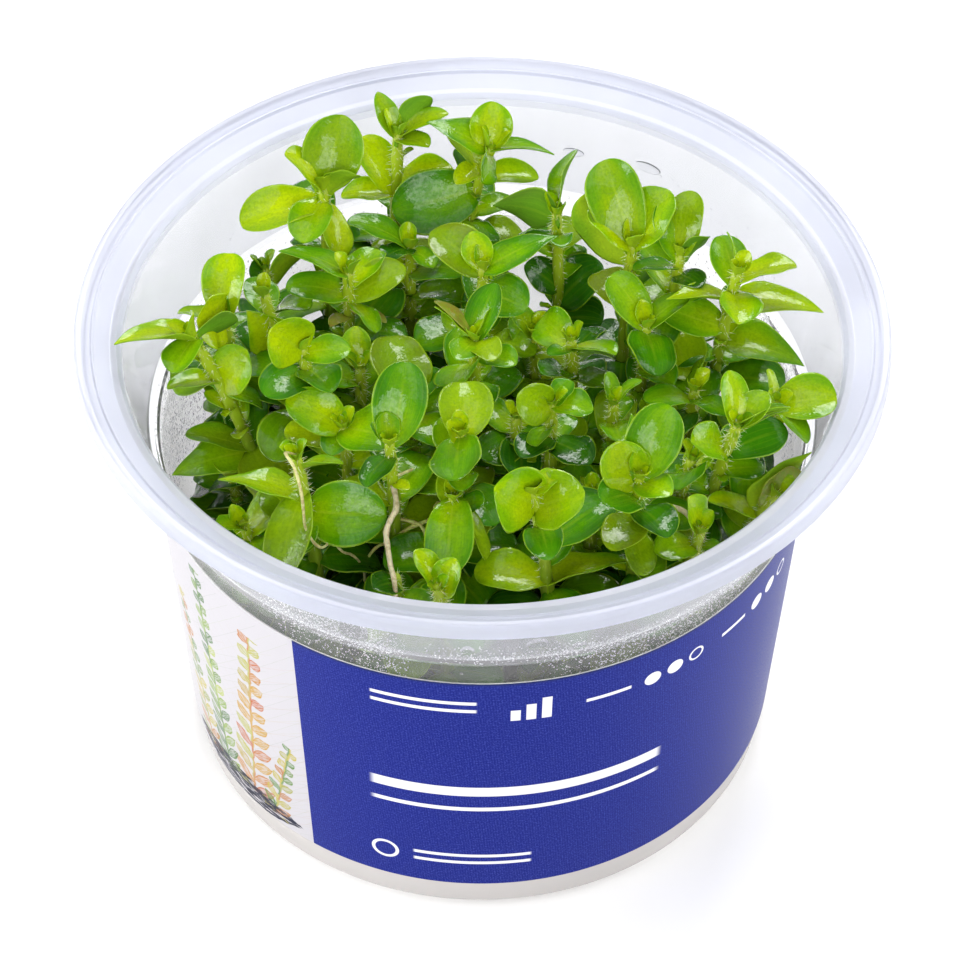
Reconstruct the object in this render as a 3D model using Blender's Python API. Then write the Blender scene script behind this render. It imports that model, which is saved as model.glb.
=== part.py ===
# Potted lemon bacopa: a round clear plastic cup with a paper label, a layer of
# nutrient gel, and the young shoots that grow out of it up to the rim.
# Metres, +Z up. The origin is the centre of the base on the surface that the
# cup stands on, and the label's printed side faces -Y.
import bpy
import bmesh
import math
import random
from mathutils import Vector
from mathutils.bvhtree import BVHTree

MM = 0.001

# Cup
RIM_RADIUS = 59.0 * MM
CUP_HEIGHT = 81.0 * MM
MOUTH_RADIUS = 52.5 * MM      # inner bead of the flange
MOUTH_Z = 78.4 * MM
STEP_RADIUS = 51.0 * MM       # outer corner of the step that the flange's collar stands on
STEP_Z = 63.1 * MM
LEDGE_RADIUS = 48.7 * MM      # inner edge of the same step
LEDGE_Z = 65.3 * MM
BODY_TOP_RADIUS = 48.8 * MM   # outer wall just below the step
BODY_TOP_Z = 62.4 * MM
BODY_FOOT_RADIUS = 45.3 * MM  # outer wall just above the rounded foot
BODY_FOOT_Z = 1.4 * MM
WALL = 0.9 * MM
FOOT_RING_RADIUS = 41.5 * MM  # inside of the ring that the cup stands on
RECESS = 0.7 * MM             # of the base, inside the foot ring
INNER_FOOT_Z = 3.4 * MM       # where the inner wall starts to round into the floor
FLOOR_ROUND = 1.8 * MM
FLANGE_THICKNESS = 1.1 * MM
LIP_DROP = 1.4 * MM           # height of the turned-up lip at the rim's edge
SKIRT_DROP = 2.8 * MM         # height of the skirt that turns down outside it
ROUND_STEPS = 40

# Label
LABEL_BOTTOM = 6.6 * MM
LABEL_TOP = 56.9 * MM
LABEL_THICKNESS = 0.2 * MM
LABEL_GAP_DEGREES = 5.0       # bare plastic at the back, where the two ends face each other

# Gel
GEL_TOP = 27.0 * MM
MENISCUS = 0.8 * MM           # how far the gel climbs the wall
MENISCUS_WIDTH = 2.2 * MM
CLEARANCE = 0.3 * MM          # between pieces that touch

# Shoots
STEM_RADIUS_FOOT = 1.15 * MM
STEM_RADIUS_TIP = 0.85 * MM
STEM_BEND = (0.12, 0.55)      # where the stem curves: share of the way across, share of the height
STEM_SAMPLES = 24
FOOT_SPACING = 6.5 * MM       # least distance between two stems at the gel
FOOT_REACH = 40.0 * MM        # largest distance of a stem's foot from the axis
PUSH_ROUNDS = 200
NODE_HALF = 0.9 * MM          # half the height of the collar that a pair of leaves grows from
NODE_DEPTHS = (0.0, 5.5 * MM, 14.5 * MM, 25.0 * MM)  # pairs of leaves, measured down the stem
NODE_PITCHES = (66.0, 44.0, 20.0, 2.0)   # degrees above square to the stem
NODE_SIZES = (0.66, 1.0, 1.06, 0.95)     # share of the shoot's full leaf length
PITCH_SPREAD = 9.0            # degrees that a leaf's pitch varies either way
LENGTH_SPREAD = (0.88, 1.08)
LEAF_WIDTH = 0.80             # widest, as a share of the length
LEAF_CUP = 0.26               # how far the edges rise, as a share of half the width
LEAF_DEPTH = 0.5 * MM
LEAF_BEND = 26.0              # degrees that a leaf arches over along its length
LEAF_GAP = 0.45 * MM
SHORT_LEAF = 6.0 * MM         # leaves below this length have one section fewer
LEAF_OUTLINE = ((0.42, 0.90), (0.80, 0.92))  # share of the length, share of the full width
SHORT_OUTLINE = ((0.60, 1.0),)
BUD_HEIGHT = 1.0 * MM
WALL_GAP = 0.6 * MM           # least room between a leaf and the cup
GEL_GAP = 1.0 * MM            # least room between a leaf and the gel
FREE_CORNER = (26.0 * MM, 24.0 * MM)  # beyond these, at the back right, no leaf reaches
SEED = 11

# A leaf that would touch another is turned (degrees sideways, degrees up), then shortened.
TURNS_TRIED = ((0, 0), (9, 0), (-9, 0), (0, 10), (0, -10), (18, 6), (-18, 6), (18, -8), (-18, -8),
               (0, 20), (0, -20), (28, 14), (-28, 14), (28, -14), (-28, -14), (36, 0), (-36, 0))
SCALES_TRIED = (1.0, 0.9, 0.8, 0.68, 0.56)

# Each shoot by the place of its tip (x, y, z in millimetres), how far its foot
# stands aside (x, y in millimetres), the bearing of its first full pair of
# leaves in degrees, the full leaf length in millimetres and its pairs of leaves.
SHOOTS = (
    (7, -35, 82, 4, 4, 120, 11.0, 4),
    (22, -31, 81, 0, 5, 110, 10.0, 4),
    (-6, -45, 73, 2, 8, 20, 7.5, 3),
    (-26, -27, 80, 3, 3, 10, 11.5, 4),
    (36, -22, 82, -4, 3, 170, 9.5, 4),
    (42, -14, 78, -6, 3, 10, 9.5, 3),
    (-42, -4, 81, 12, -3, 175, 12.0, 4),
    (-13, -23, 79, 1, 3, 100, 11.5, 4),
    (-3, -21, 79, 1, 3, 92, 10.0, 4),
    (10, -14, 78, 0, 2, 0, 9.0, 4),
    (37, 6, 85, -4, 0, 60, 11.5, 4),
    (22, 13, 84, -1, -1, 112, 11.5, 4),
    (29, 12, 83, -3, -3, 45, 10.0, 3),
    (1, 33, 85, -8, -4, 5, 10.5, 4),
    (-13, 36, 85, -1, -5, 150, 11.0, 4),
    (-24, 26, 83, 1, -5, 100, 11.5, 4),
    (11, 24, 80, 1, -3, 150, 9.5, 4),
    (-20, 13, 78, 0, -2, 150, 11.0, 4),
    (0, 12, 80, 0, -2, 110, 10.5, 4),
    (-1, -3, 80, 0, 0, 35, 9.5, 4),
    (24, 3, 77, -1, 0, 120, 11.0, 4),
    (13, 1, 76, 1, 0, 20, 10.0, 4),
    (-26, -5, 80, 2, 0, 150, 10.0, 4),
    (-32, 6, 80, 3, -1, 80, 10.0, 4),
    (-38, 3, 78, 4, 2, 70, 9.5, 3),
    (-20, -13, 72, 1, 1, 30, 10.0, 4),
    (19, -10, 74, 0, 1, 45, 8.0, 3),
    (-37, -8, 56, 3, 1, 170, 9.0, 3),
    (30, -21, 74, -1, 2, 160, 9.5, 3),
    (31, -32, 71, -3, 3, 60, 9.5, 3),
    (5, -9, 70, 0, 1, 160, 9.5, 3),
    (-10, -7, 72, 0, 1, 60, 9.5, 3),
    (-4, -26, 71, 0, 3, 100, 10.0, 3),
    (42, -24, 70, -5, 3, 40, 9.5, 3),
    (-33, 20, 72, 3, -3, 20, 9.0, 3),
    (-34, -27, 66, 4, 4, 130, 9.5, 3),
    (16, -22, 68, 0, 3, 100, 9.5, 3),
    (-12, -37, 66, 1, 4, 20, 9.0, 3),
    (8, 7, 71, 0, 0, 60, 10.0, 3),
    (-11, 23, 74, 0, -2, 100, 10.0, 3),
    (31, -5, 72, -1, 0, 30, 10.0, 3),
    (-18, 1, 70, 0, 0, 10, 9.5, 3),
)


# Shared helpers

def clear_scene():
    for item in list(bpy.data.objects):
        bpy.data.objects.remove(item, do_unlink=True)


def make_material(name, colour, roughness, metallic=0.0, transmission=0.0, ior=1.45):
    material = bpy.data.materials.new(name)
    material.use_nodes = True
    shader = material.node_tree.nodes["Principled BSDF"]
    shader.inputs["Base Color"].default_value = (*colour, 1.0)
    shader.inputs["Roughness"].default_value = roughness
    shader.inputs["Metallic"].default_value = metallic
    shader.inputs["Transmission Weight"].default_value = transmission
    shader.inputs["IOR"].default_value = ior
    return material


def add_object(name, work, material, sharp_degrees):
    mesh = bpy.data.meshes.new(name)
    work.to_mesh(mesh)
    work.free()
    mesh.materials.append(material)
    mesh.shade_smooth()
    mesh.set_sharp_from_angle(angle=math.radians(sharp_degrees))
    item = bpy.data.objects.new(name, mesh)
    bpy.context.scene.collection.objects.link(item)
    return item


def add_turned(name, profile, material, sharp_degrees=35.0):
    """A closed turned solid; its profile starts and ends on the axis."""
    work = bmesh.new()
    points = [work.verts.new((radius, 0.0, height)) for radius, height in profile]
    for start, end in zip(points, points[1:]):
        work.edges.new((start, end))
    bmesh.ops.spin(work, geom=work.verts[:] + work.edges[:], cent=(0, 0, 0), axis=(0, 0, 1),
                   angle=math.tau, steps=ROUND_STEPS, use_merge=True)
    bmesh.ops.remove_doubles(work, verts=work.verts[:], dist=0.00001)
    bmesh.ops.recalc_face_normals(work, faces=work.faces[:])
    return add_object(name, work, material, sharp_degrees)


# Cup

def outer_wall(z):
    """Outer radius of the tapered body at a height."""
    share = (z - BODY_FOOT_Z) / (BODY_TOP_Z - BODY_FOOT_Z)
    return BODY_FOOT_RADIUS + share * (BODY_TOP_RADIUS - BODY_FOOT_RADIUS)


def cup_profile():
    """The cup's section, from the middle of its floor round to the middle of its base."""
    floor = RECESS + WALL
    inner_foot = outer_wall(INNER_FOOT_Z) - WALL
    inside = [
        (0.0, floor),
        (inner_foot - FLOOR_ROUND, floor),
        (inner_foot, INNER_FOOT_Z),
        (BODY_TOP_RADIUS - WALL, BODY_TOP_Z),
        (LEDGE_RADIUS, LEDGE_Z),
        (STEP_RADIUS - WALL, LEDGE_Z + 0.4 * MM),
        (MOUTH_RADIUS, MOUTH_Z - 0.6 * MM),
    ]
    flange = [
        (MOUTH_RADIUS + 0.6 * MM, MOUTH_Z + 0.1 * MM),
        (MOUTH_RADIUS + 1.6 * MM, MOUTH_Z),
        (RIM_RADIUS - 2.2 * MM, CUP_HEIGHT - LIP_DROP),
        (RIM_RADIUS - 0.9 * MM, CUP_HEIGHT),
        (RIM_RADIUS - 0.2 * MM, CUP_HEIGHT - 0.3 * MM),
        (RIM_RADIUS + 0.3 * MM, CUP_HEIGHT - SKIRT_DROP + 0.1 * MM),
        (RIM_RADIUS - 0.6 * MM, CUP_HEIGHT - SKIRT_DROP),
        (RIM_RADIUS - 1.1 * MM, CUP_HEIGHT - LIP_DROP),
        (MOUTH_RADIUS + 1.4 * MM, MOUTH_Z - FLANGE_THICKNESS),
        (MOUTH_RADIUS + 0.7 * MM, MOUTH_Z - FLANGE_THICKNESS - 1.3 * MM),
    ]
    outside = [
        (STEP_RADIUS, STEP_Z),
        (BODY_TOP_RADIUS, BODY_TOP_Z),
        (BODY_FOOT_RADIUS, BODY_FOOT_Z),
        (BODY_FOOT_RADIUS - 1.2 * MM, 0.0),
        (FOOT_RING_RADIUS, 0.0),
        (FOOT_RING_RADIUS - 0.8 * MM, RECESS),
        (0.0, RECESS),
    ]
    return inside + flange + outside


def build_cup():
    material = make_material("Clear_polypropylene", (0.90, 0.90, 0.95), 0.25, transmission=0.7)
    return add_turned("cup", cup_profile(), material)


# Label

def build_label():
    """A paper band round the tapered wall, with a narrow gap at the back."""
    material = make_material("Label_paper", (0.03, 0.05, 0.27), 0.45)
    work = bmesh.new()
    half_gap = math.radians(LABEL_GAP_DEGREES / 2)
    start = math.pi / 2 + half_gap
    turn = math.tau - 2 * half_gap
    rings = []
    for index in range(ROUND_STEPS + 1):
        angle = start + turn * index / ROUND_STEPS
        corners = []
        for z, outside in ((LABEL_BOTTOM, 0), (LABEL_BOTTOM, 1), (LABEL_TOP, 1), (LABEL_TOP, 0)):
            radius = outer_wall(z) + CLEARANCE + outside * LABEL_THICKNESS
            corners.append(work.verts.new((radius * math.cos(angle), radius * math.sin(angle), z)))
        rings.append(corners)
    for near, far in zip(rings, rings[1:]):
        for side in range(4):
            after = (side + 1) % 4
            work.faces.new((near[side], near[after], far[after], far[side]))
    work.faces.new(rings[0][::-1])
    work.faces.new(rings[-1])
    bmesh.ops.recalc_face_normals(work, faces=work.faces[:])
    return add_object("label", work, material, 35.0)


# Gel

def build_gel():
    material = make_material("Nutrient_gel", (0.82, 0.78, 0.68), 0.3, transmission=0.4, ior=1.34)
    bottom = RECESS + WALL + CLEARANCE
    edge = outer_wall(GEL_TOP) - WALL - CLEARANCE
    foot = outer_wall(INNER_FOOT_Z) - WALL - CLEARANCE
    profile = [
        (0.0, GEL_TOP),
        (edge * 0.55, GEL_TOP),
        (edge - MENISCUS_WIDTH, GEL_TOP),
        (edge, GEL_TOP + MENISCUS),
        (foot, INNER_FOOT_Z + 0.5 * MM),
        (foot - FLOOR_ROUND, bottom),
        (0.0, bottom),
    ]
    return add_turned("gel", profile, material)


# Shoots

def inner_limit(z):
    """Largest distance from the axis that a leaf may reach at a height."""
    if z > CUP_HEIGHT + 0.8 * MM:
        return RIM_RADIUS
    if z > MOUTH_Z:
        return MOUTH_RADIUS - 0.2 * MM
    if z > LEDGE_Z:
        share = (z - LEDGE_Z) / (MOUTH_Z - LEDGE_Z)
        wall = STEP_RADIUS - WALL
        return wall + share * (MOUTH_RADIUS - wall) - WALL_GAP
    return min(outer_wall(z), BODY_TOP_RADIUS) - WALL - WALL_GAP


def inside_cup(points):
    for point in points:
        reach = math.hypot(point.x, point.y)
        if reach > inner_limit(point.z) or point.z < GEL_TOP + GEL_GAP:
            return False
        if point.x > FREE_CORNER[0] and point.y > FREE_CORNER[1]:
            return False
    return True


def triangulate_faces(faces):
    triangles = []
    for face in faces:
        for index in range(1, len(face) - 1):
            triangles.append((face[0], face[index], face[index + 1]))
    return triangles


class Stem:
    """A square stem from the gel to its tip, with one collar for each pair of leaves."""

    def __init__(self, tip, foot, bearing, pairs):
        self.tip = tip
        self.foot = foot
        across, up = STEM_BEND
        self.bend = Vector((foot.x + across * (tip.x - foot.x), foot.y + across * (tip.y - foot.y),
                            foot.z + up * (tip.z - foot.z)))
        self.bearing = math.radians(bearing)
        self.length = self.measure()
        self.nodes = list(NODE_DEPTHS[:pairs])

    def at(self, share):
        """A point on the stem's curve; 0 is the foot and 1 the tip."""
        left = 1.0 - share
        return left * left * self.foot + 2 * left * share * self.bend + share * share * self.tip

    def measure(self):
        points = [self.at(index / STEM_SAMPLES) for index in range(STEM_SAMPLES + 1)]
        return sum((after - before).length for before, after in zip(points, points[1:]))

    def frame(self, depth):
        """Place, direction and the two square directions at a depth below the tip."""
        share = 1.0 - depth / self.length
        step = 0.02
        along = (self.at(share + step) - self.at(share - step)).normalized()
        flat = Vector((math.cos(self.bearing), math.sin(self.bearing), 0.0))
        first = (flat - along * flat.dot(along)).normalized()
        return self.at(share), along, first, along.cross(first)

    def radius(self, depth):
        share = depth / self.length
        return STEM_RADIUS_TIP + share * (STEM_RADIUS_FOOT - STEM_RADIUS_TIP)

    def ring(self, depth):
        place, along, first, second = self.frame(depth)
        reach = self.radius(depth)
        corners = ((1, 1), (-1, 1), (-1, -1), (1, -1))
        return [place + reach * (a * first + b * second) for a, b in corners]

    def depths(self):
        """Depth of every ring, from the tip down."""
        found = []
        for node in self.nodes:
            found += [node - NODE_HALF, node + NODE_HALF]
        found[0] = 0.0
        found[1] = 2 * NODE_HALF
        lowest = found[-1]
        middle = (lowest + self.length) / 2
        return found + [middle, self.length]


def leaf_points(stem, node, side, length, pitch, turn, spare):
    """One leaf's root on the collar, its sections as (left, right, keel) triples, and its tip."""
    depth = max(node, NODE_HALF)
    place, along, first, second = stem.frame(depth)
    square = (first, second, -first, -second)[side]
    turn_by = math.radians(turn)
    outward = square * math.cos(turn_by) + along.cross(square) * math.sin(turn_by)
    across = along.cross(outward)
    root_half = stem.radius(depth) + spare
    start = place + outward * stem.radius(depth)
    upper = start + along * NODE_HALF
    root = (upper + across * root_half, upper - across * root_half, start - along * (NODE_HALF + spare))
    climb = math.radians(pitch)
    bend = math.radians(LEAF_BEND)

    def centre(share):
        angle = climb - bend * share
        out = (math.sin(climb) - math.sin(angle)) / bend
        up = (math.cos(angle) - math.cos(climb)) / bend
        return start + length * (outward * out + along * up)

    sections = []
    for share, width in SHORT_OUTLINE if length < SHORT_LEAF else LEAF_OUTLINE:
        angle = climb - bend * share
        above = along * math.cos(angle) - outward * math.sin(angle)
        half = length * LEAF_WIDTH * width / 2
        edge = centre(share) + above * (half * LEAF_CUP + spare)
        keel = centre(share) - above * (LEAF_DEPTH + spare)
        sections.append((edge + across * (half + spare), edge - across * (half + spare), keel))
    return root, sections, centre(1.0 + spare / length)


def leaf_shell(root, sections, tip):
    """Vertices and triangles of a leaf on its own, closed at its root."""
    sections = [root] + sections
    points = [point for section in sections for point in section] + [tip]
    faces = [(0, 2, 1)]
    for index in range(len(sections) - 1):
        low = 3 * index
        for a, b in ((0, 1), (1, 2), (2, 0)):
            faces.append((low + a, low + b, low + 3 + b, low + 3 + a))
    low = 3 * (len(sections) - 1)
    last = len(points) - 1
    for a, b in ((0, 1), (1, 2), (2, 0)):
        faces.append((low + a, low + b, last))
    return points, triangulate_faces(faces)


class Crowd:
    """Everything placed so far, to keep each new leaf clear of it."""

    def __init__(self):
        self.items = []

    def add(self, points, triangles, owner):
        centre = sum(points, Vector()) / len(points)
        reach = max((point - centre).length for point in points)
        tree = BVHTree.FromPolygons(points, triangles)
        self.items.append((centre, reach, tree, owner))

    def is_free(self, points, triangles, owner):
        centre = sum(points, Vector()) / len(points)
        reach = max((point - centre).length for point in points)
        tree = None
        for other_centre, other_reach, other_tree, other_owner in self.items:
            if other_owner == owner:
                continue
            if (other_centre - centre).length > reach + other_reach:
                continue
            if tree is None:
                tree = BVHTree.FromPolygons(points, triangles)
            if tree.overlap(other_tree):
                return False
        return True


def stem_shell(stem):
    rings = [stem.ring(depth) for depth in stem.depths()]
    points = [point for ring in rings for point in ring]
    faces = []
    for index in range(len(rings) - 1):
        for side in range(4):
            after = (side + 1) % 4
            low = 4 * index
            faces.append((low + side, low + after, low + 4 + after, low + 4 + side))
    return points, triangulate_faces(faces)


def place_feet():
    """Feet of the stems on the gel, pushed apart until each has room."""
    feet = [Vector(((row[0] + row[3]) * MM, (row[1] + row[4]) * MM, 0.0)) for row in SHOOTS]
    for turn in range(PUSH_ROUNDS):
        for number, foot in enumerate(feet):
            for other in feet[number + 1:]:
                between = other - foot
                lacking = FOOT_SPACING - between.length
                if lacking > 0:
                    push = between.normalized() * (lacking / 2)
                    foot -= push
                    other += push
        for foot in feet:
            if foot.length > FOOT_REACH:
                foot *= FOOT_REACH / foot.length
    for foot in feet:
        foot.z = GEL_TOP + CLEARANCE
    return feet


def plan_shoots():
    """Choose every stem and leaf, each leaf turned or shortened until it is clear."""
    chance = random.Random(SEED)
    crowd = Crowd()
    stems = []
    feet = place_feet()
    for number, (x, y, z, aside_x, aside_y, bearing, leaf_length, pairs) in enumerate(SHOOTS):
        tip = Vector((x * MM, y * MM, z * MM))
        stem = Stem(tip, feet[number], bearing, pairs)
        stems.append(stem)
        points, triangles = stem_shell(stem)
        crowd.add(points, triangles, ("stem", number))
    leaves = {}
    for level in range(len(NODE_DEPTHS)):
        for number, row in enumerate(SHOOTS):
            stem = stems[number]
            if level >= len(stem.nodes):
                continue
            full = row[6] * MM * NODE_SIZES[level]
            for half in range(2):
                side = (level + 1) % 2 + 2 * half
                pitch = NODE_PITCHES[level] + chance.uniform(-PITCH_SPREAD, PITCH_SPREAD)
                stretch = full * chance.uniform(*LENGTH_SPREAD)
                chosen = fit_leaf(crowd, stem, number, level, side, stretch, pitch)
                if chosen:
                    leaves[(number, level, side)] = chosen
    return stems, leaves


def fit_leaf(crowd, stem, number, level, side, length, pitch):
    node = stem.nodes[level]
    for scale in SCALES_TRIED:
        for turn, lift in TURNS_TRIED:
            pose = (length * scale, pitch + lift, turn)
            points, triangles = leaf_shell(*leaf_points(stem, node, side, *pose, LEAF_GAP))
            if inside_cup(points) and crowd.is_free(points, triangles, ("stem", number)):
                crowd.add(*leaf_shell(*leaf_points(stem, node, side, *pose, 0.0)), ("leaf", number))
                return pose
    return None


def build_shoot(number, stem, leaves, material):
    """One shoot: its square stem with every leaf grown out of a collar's side."""
    work = bmesh.new()
    rings = [[work.verts.new(point) for point in stem.ring(depth)] for depth in stem.depths()]
    levels = len(stem.nodes)
    for index in range(len(rings) - 1):
        level = index // 2
        is_collar = index % 2 == 0 and level < levels
        for side in range(4):
            # The corners of side 0 are numbers 3 and 0, of side 1 numbers 0 and 1, and so on.
            before = (side + 3) % 4
            quad = (rings[index][before], rings[index][side],
                    rings[index + 1][side], rings[index + 1][before])
            pose = leaves.get((number, level, side)) if is_collar else None
            if pose is None:
                work.faces.new(quad)
            else:
                grow_leaf(work, stem, stem.nodes[level], side, pose, quad)
    tip_place, along = stem.frame(0.0)[:2]
    bud = work.verts.new(tip_place + along * BUD_HEIGHT)
    for side in range(4):
        work.faces.new((rings[0][side], rings[0][(side + 1) % 4], bud))
    work.faces.new(rings[-1])
    bmesh.ops.triangulate(work, faces=work.faces[:])
    bmesh.ops.recalc_face_normals(work, faces=work.faces[:])
    return add_object("shoot_%02d" % (number + 1), work, material, 50.0)


def grow_leaf(work, stem, node, side, pose, quad):
    """Extend the collar's side out into a leaf with a keel underneath and a pointed end."""
    upper_right, upper_left, lower_left, lower_right = quad
    sections, tip = leaf_points(stem, node, side, *pose, 0.0)[1:]
    rows = [[work.verts.new(point) for point in section] for section in sections]
    left, right, keel = rows[0]
    work.faces.new((upper_left, upper_right, right, left))
    work.faces.new((upper_left, left, keel, lower_left))
    work.faces.new((upper_right, lower_right, keel, right))
    work.faces.new((lower_left, keel, lower_right))
    for near, far in zip(rows, rows[1:]):
        for a, b in ((0, 1), (1, 2), (2, 0)):
            work.faces.new((near[a], near[b], far[b], far[a]))
    end = work.verts.new(tip)
    for a, b in ((0, 1), (1, 2), (2, 0)):
        work.faces.new((rows[-1][a], rows[-1][b], end))


def build_shoots():
    material = make_material("Bacopa_green", (0.16, 0.42, 0.02), 0.35)
    stems, leaves = plan_shoots()
    for number, stem in enumerate(stems):
        build_shoot(number, stem, leaves, material)


clear_scene()
build_cup()
build_label()
build_gel()
build_shoots()
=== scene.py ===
import math
import random

import bmesh
import bpy
from mathutils import Matrix, Vector
from mathutils.kdtree import KDTree


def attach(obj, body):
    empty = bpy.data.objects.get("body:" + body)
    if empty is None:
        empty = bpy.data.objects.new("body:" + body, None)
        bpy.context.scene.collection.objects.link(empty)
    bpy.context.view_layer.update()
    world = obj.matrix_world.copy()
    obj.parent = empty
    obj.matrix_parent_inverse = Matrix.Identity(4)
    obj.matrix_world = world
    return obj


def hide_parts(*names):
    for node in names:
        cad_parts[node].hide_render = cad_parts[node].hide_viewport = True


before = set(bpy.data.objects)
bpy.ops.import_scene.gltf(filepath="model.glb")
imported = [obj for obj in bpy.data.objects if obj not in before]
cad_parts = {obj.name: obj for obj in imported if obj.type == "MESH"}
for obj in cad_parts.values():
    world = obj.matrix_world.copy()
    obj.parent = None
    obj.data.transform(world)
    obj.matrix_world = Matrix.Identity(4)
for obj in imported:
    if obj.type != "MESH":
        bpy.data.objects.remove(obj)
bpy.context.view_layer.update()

mm = 0.001


# Shared helpers

def addNode(tree, kind, inputs=None, **settings):
    # one node, with its settings, and its inputs as values or as links from other sockets
    made = tree.nodes.new(kind)
    made.location = (220 * (len(tree.nodes) % 9), -260 * (len(tree.nodes) // 9))
    for name, value in settings.items():
        setattr(made, name, value)
    for key, value in (inputs or {}).items():
        socket = made.inputs[key]
        if isinstance(value, bpy.types.NodeSocket):
            tree.links.new(value, socket)
        else:
            socket.default_value = value
    return made


def maths(tree, operation, *values):
    return addNode(tree, "ShaderNodeMath", dict(enumerate(values)), operation=operation).outputs[0]


def plus(tree, first, second):
    return maths(tree, "ADD", first, second)


def minus(tree, first, second):
    return maths(tree, "SUBTRACT", first, second)


def times(tree, first, second):
    return maths(tree, "MULTIPLY", first, second)


def over(tree, first, second):
    return maths(tree, "DIVIDE", first, second)


def newGroup(name, kind, inputs, outputs):
    # an empty node group with named inputs (name, type, value) and outputs (name, type)
    tree = bpy.data.node_groups.new(name, kind)
    for socketName, socketType, value in inputs:
        socket = tree.interface.new_socket(socketName, in_out="INPUT", socket_type="NodeSocket" + socketType)
        if value is not None:
            socket.default_value = value
    for socketName, socketType in outputs:
        tree.interface.new_socket(socketName, in_out="OUTPUT", socket_type="NodeSocket" + socketType)
    entry = tree.nodes.new("NodeGroupInput").outputs
    leave = tree.nodes.new("NodeGroupOutput").inputs
    return tree, entry, leave


def useGroup(tree, group, inputs):
    return addNode(tree, "ShaderNodeGroup", inputs, node_tree=group).outputs


def newMaterial(name, shaderValues):
    material = bpy.data.materials.new(name)
    material.use_nodes = True
    tree = material.node_tree
    shader = tree.nodes["Principled BSDF"]
    for key, value in shaderValues.items():
        shader.inputs[key].default_value = value
    return material, tree, shader


def mixColour(tree, amount, *colours):
    ends = [colour if isinstance(colour, bpy.types.NodeSocket) else (*colour, 1.0) for colour in colours]
    return addNode(tree, "ShaderNodeMix", {0: amount, 6: ends[0], 7: ends[1]}, data_type="RGBA").outputs[2]


def mapRange(tree, value, fromLow, fromHigh, toLow=0.0, toHigh=1.0, smooth=True):
    kind = "SMOOTHSTEP" if smooth else "LINEAR"
    inputs = {0: value, 1: fromLow, 2: fromHigh, 3: toLow, 4: toHigh}
    return addNode(tree, "ShaderNodeMapRange", inputs, interpolation_type=kind).outputs[0]


def objectPlace(tree):
    return addNode(tree, "ShaderNodeTexCoord").outputs["Object"]


def readAttribute(tree, name):
    return addNode(tree, "ShaderNodeAttribute", attribute_name=name).outputs["Fac"]


def joinXyz(tree, *parts):
    return addNode(tree, "ShaderNodeCombineXYZ", dict(enumerate(parts))).outputs[0]


def splitXyz(tree, vector):
    return addNode(tree, "ShaderNodeSeparateXYZ", {0: vector}).outputs


def vectorMaths(tree, operation, first, second):
    return addNode(tree, "ShaderNodeVectorMath", {0: first, 1: second}, operation=operation).outputs[0]


def feed(node, values):
    # lead other nodes' outputs into a node that is there already
    for name, value in values.items():
        node.id_data.links.new(value, node.inputs[name])


def noise(tree, vector, scale, detail=2.0, roughness=0.5):
    inputs = {"Vector": vector, "Scale": scale, "Detail": detail, "Roughness": roughness}
    return addNode(tree, "ShaderNodeTexNoise", inputs).outputs["Fac"]


def bump(tree, height, distance, strength=1.0, normal=None):
    inputs = {"Height": height, "Distance": distance, "Strength": strength}
    if normal is not None:
        inputs["Normal"] = normal
    return addNode(tree, "ShaderNodeBump", inputs).outputs[0]


def placeObject(name, data):
    item = bpy.data.objects.new(name, data)
    bpy.context.scene.collection.objects.link(item)
    return item


def newPiece(name, points, faces, materials=(), edges=()):
    mesh = bpy.data.meshes.new(name)
    mesh.from_pydata([tuple(point) for point in points], edges, faces)
    for material in materials:
        mesh.materials.append(material)
    return placeObject(name, mesh)


def pieceFromWork(name, work, material):
    # an object from a bmesh, which is freed
    mesh = bpy.data.meshes.new(name)
    work.to_mesh(mesh)
    work.free()
    mesh.materials.append(material)
    return placeObject(name, mesh)


def fixNormals(piece):
    work = bmesh.new()
    work.from_mesh(piece.data)
    bmesh.ops.recalc_face_normals(work, faces=work.faces[:])
    work.to_mesh(piece.data)
    work.free()
    piece.data.shade_smooth()


def setPointAttribute(mesh, name, values):
    mesh.attributes.new(name, "FLOAT", "POINT").data.foreach_set("value", values)


def setPointUv(mesh, name, pairs):
    # a UV map that gives every corner its point's own pair
    layer = mesh.uv_layers.new(name=name)
    flat = []
    for loop in mesh.loops:
        flat.extend(pairs[loop.vertex_index])
    layer.data.foreach_set("uv", flat)


def applyNodes(piece, tree, values):
    # run a Geometry Nodes tree on a piece and keep the result as its plain mesh
    modifier = piece.modifiers.new(tree.name, "NODES")
    modifier.node_group = tree
    for item in tree.interface.items_tree:
        if item.item_type == "SOCKET" and item.in_out == "INPUT" and item.name in values:
            modifier[item.identifier] = values[item.name]
    depsgraph = bpy.context.evaluated_depsgraph_get()
    result = bpy.data.meshes.new_from_object(piece.evaluated_get(depsgraph),
                                             preserve_all_data_layers=True, depsgraph=depsgraph)
    piece.modifiers.remove(modifier)
    # a Set Material node leaves an empty slot first; taking it out shifts the faces' slots too
    while len(result.materials) > 1 and result.materials[0] is None:
        result.materials.pop(index=0)
    before = piece.data
    piece.data = result
    bpy.data.meshes.remove(before)
    result.name = piece.name


def finishPiece(piece, slot, *nodes):
    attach(piece, "root")
    if nodes:
        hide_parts(*nodes)


# Camera, and the pixels that it sees

camera = {
    "place": (-0.0002124, -0.365198, 0.433574),
    "target": (-0.0002124, 0.0, 0.0467092),
    "roll": -0.0072,
    "lens": 131.25,
    "sensor": 36.0,
    "pixels": 960,
}


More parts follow.
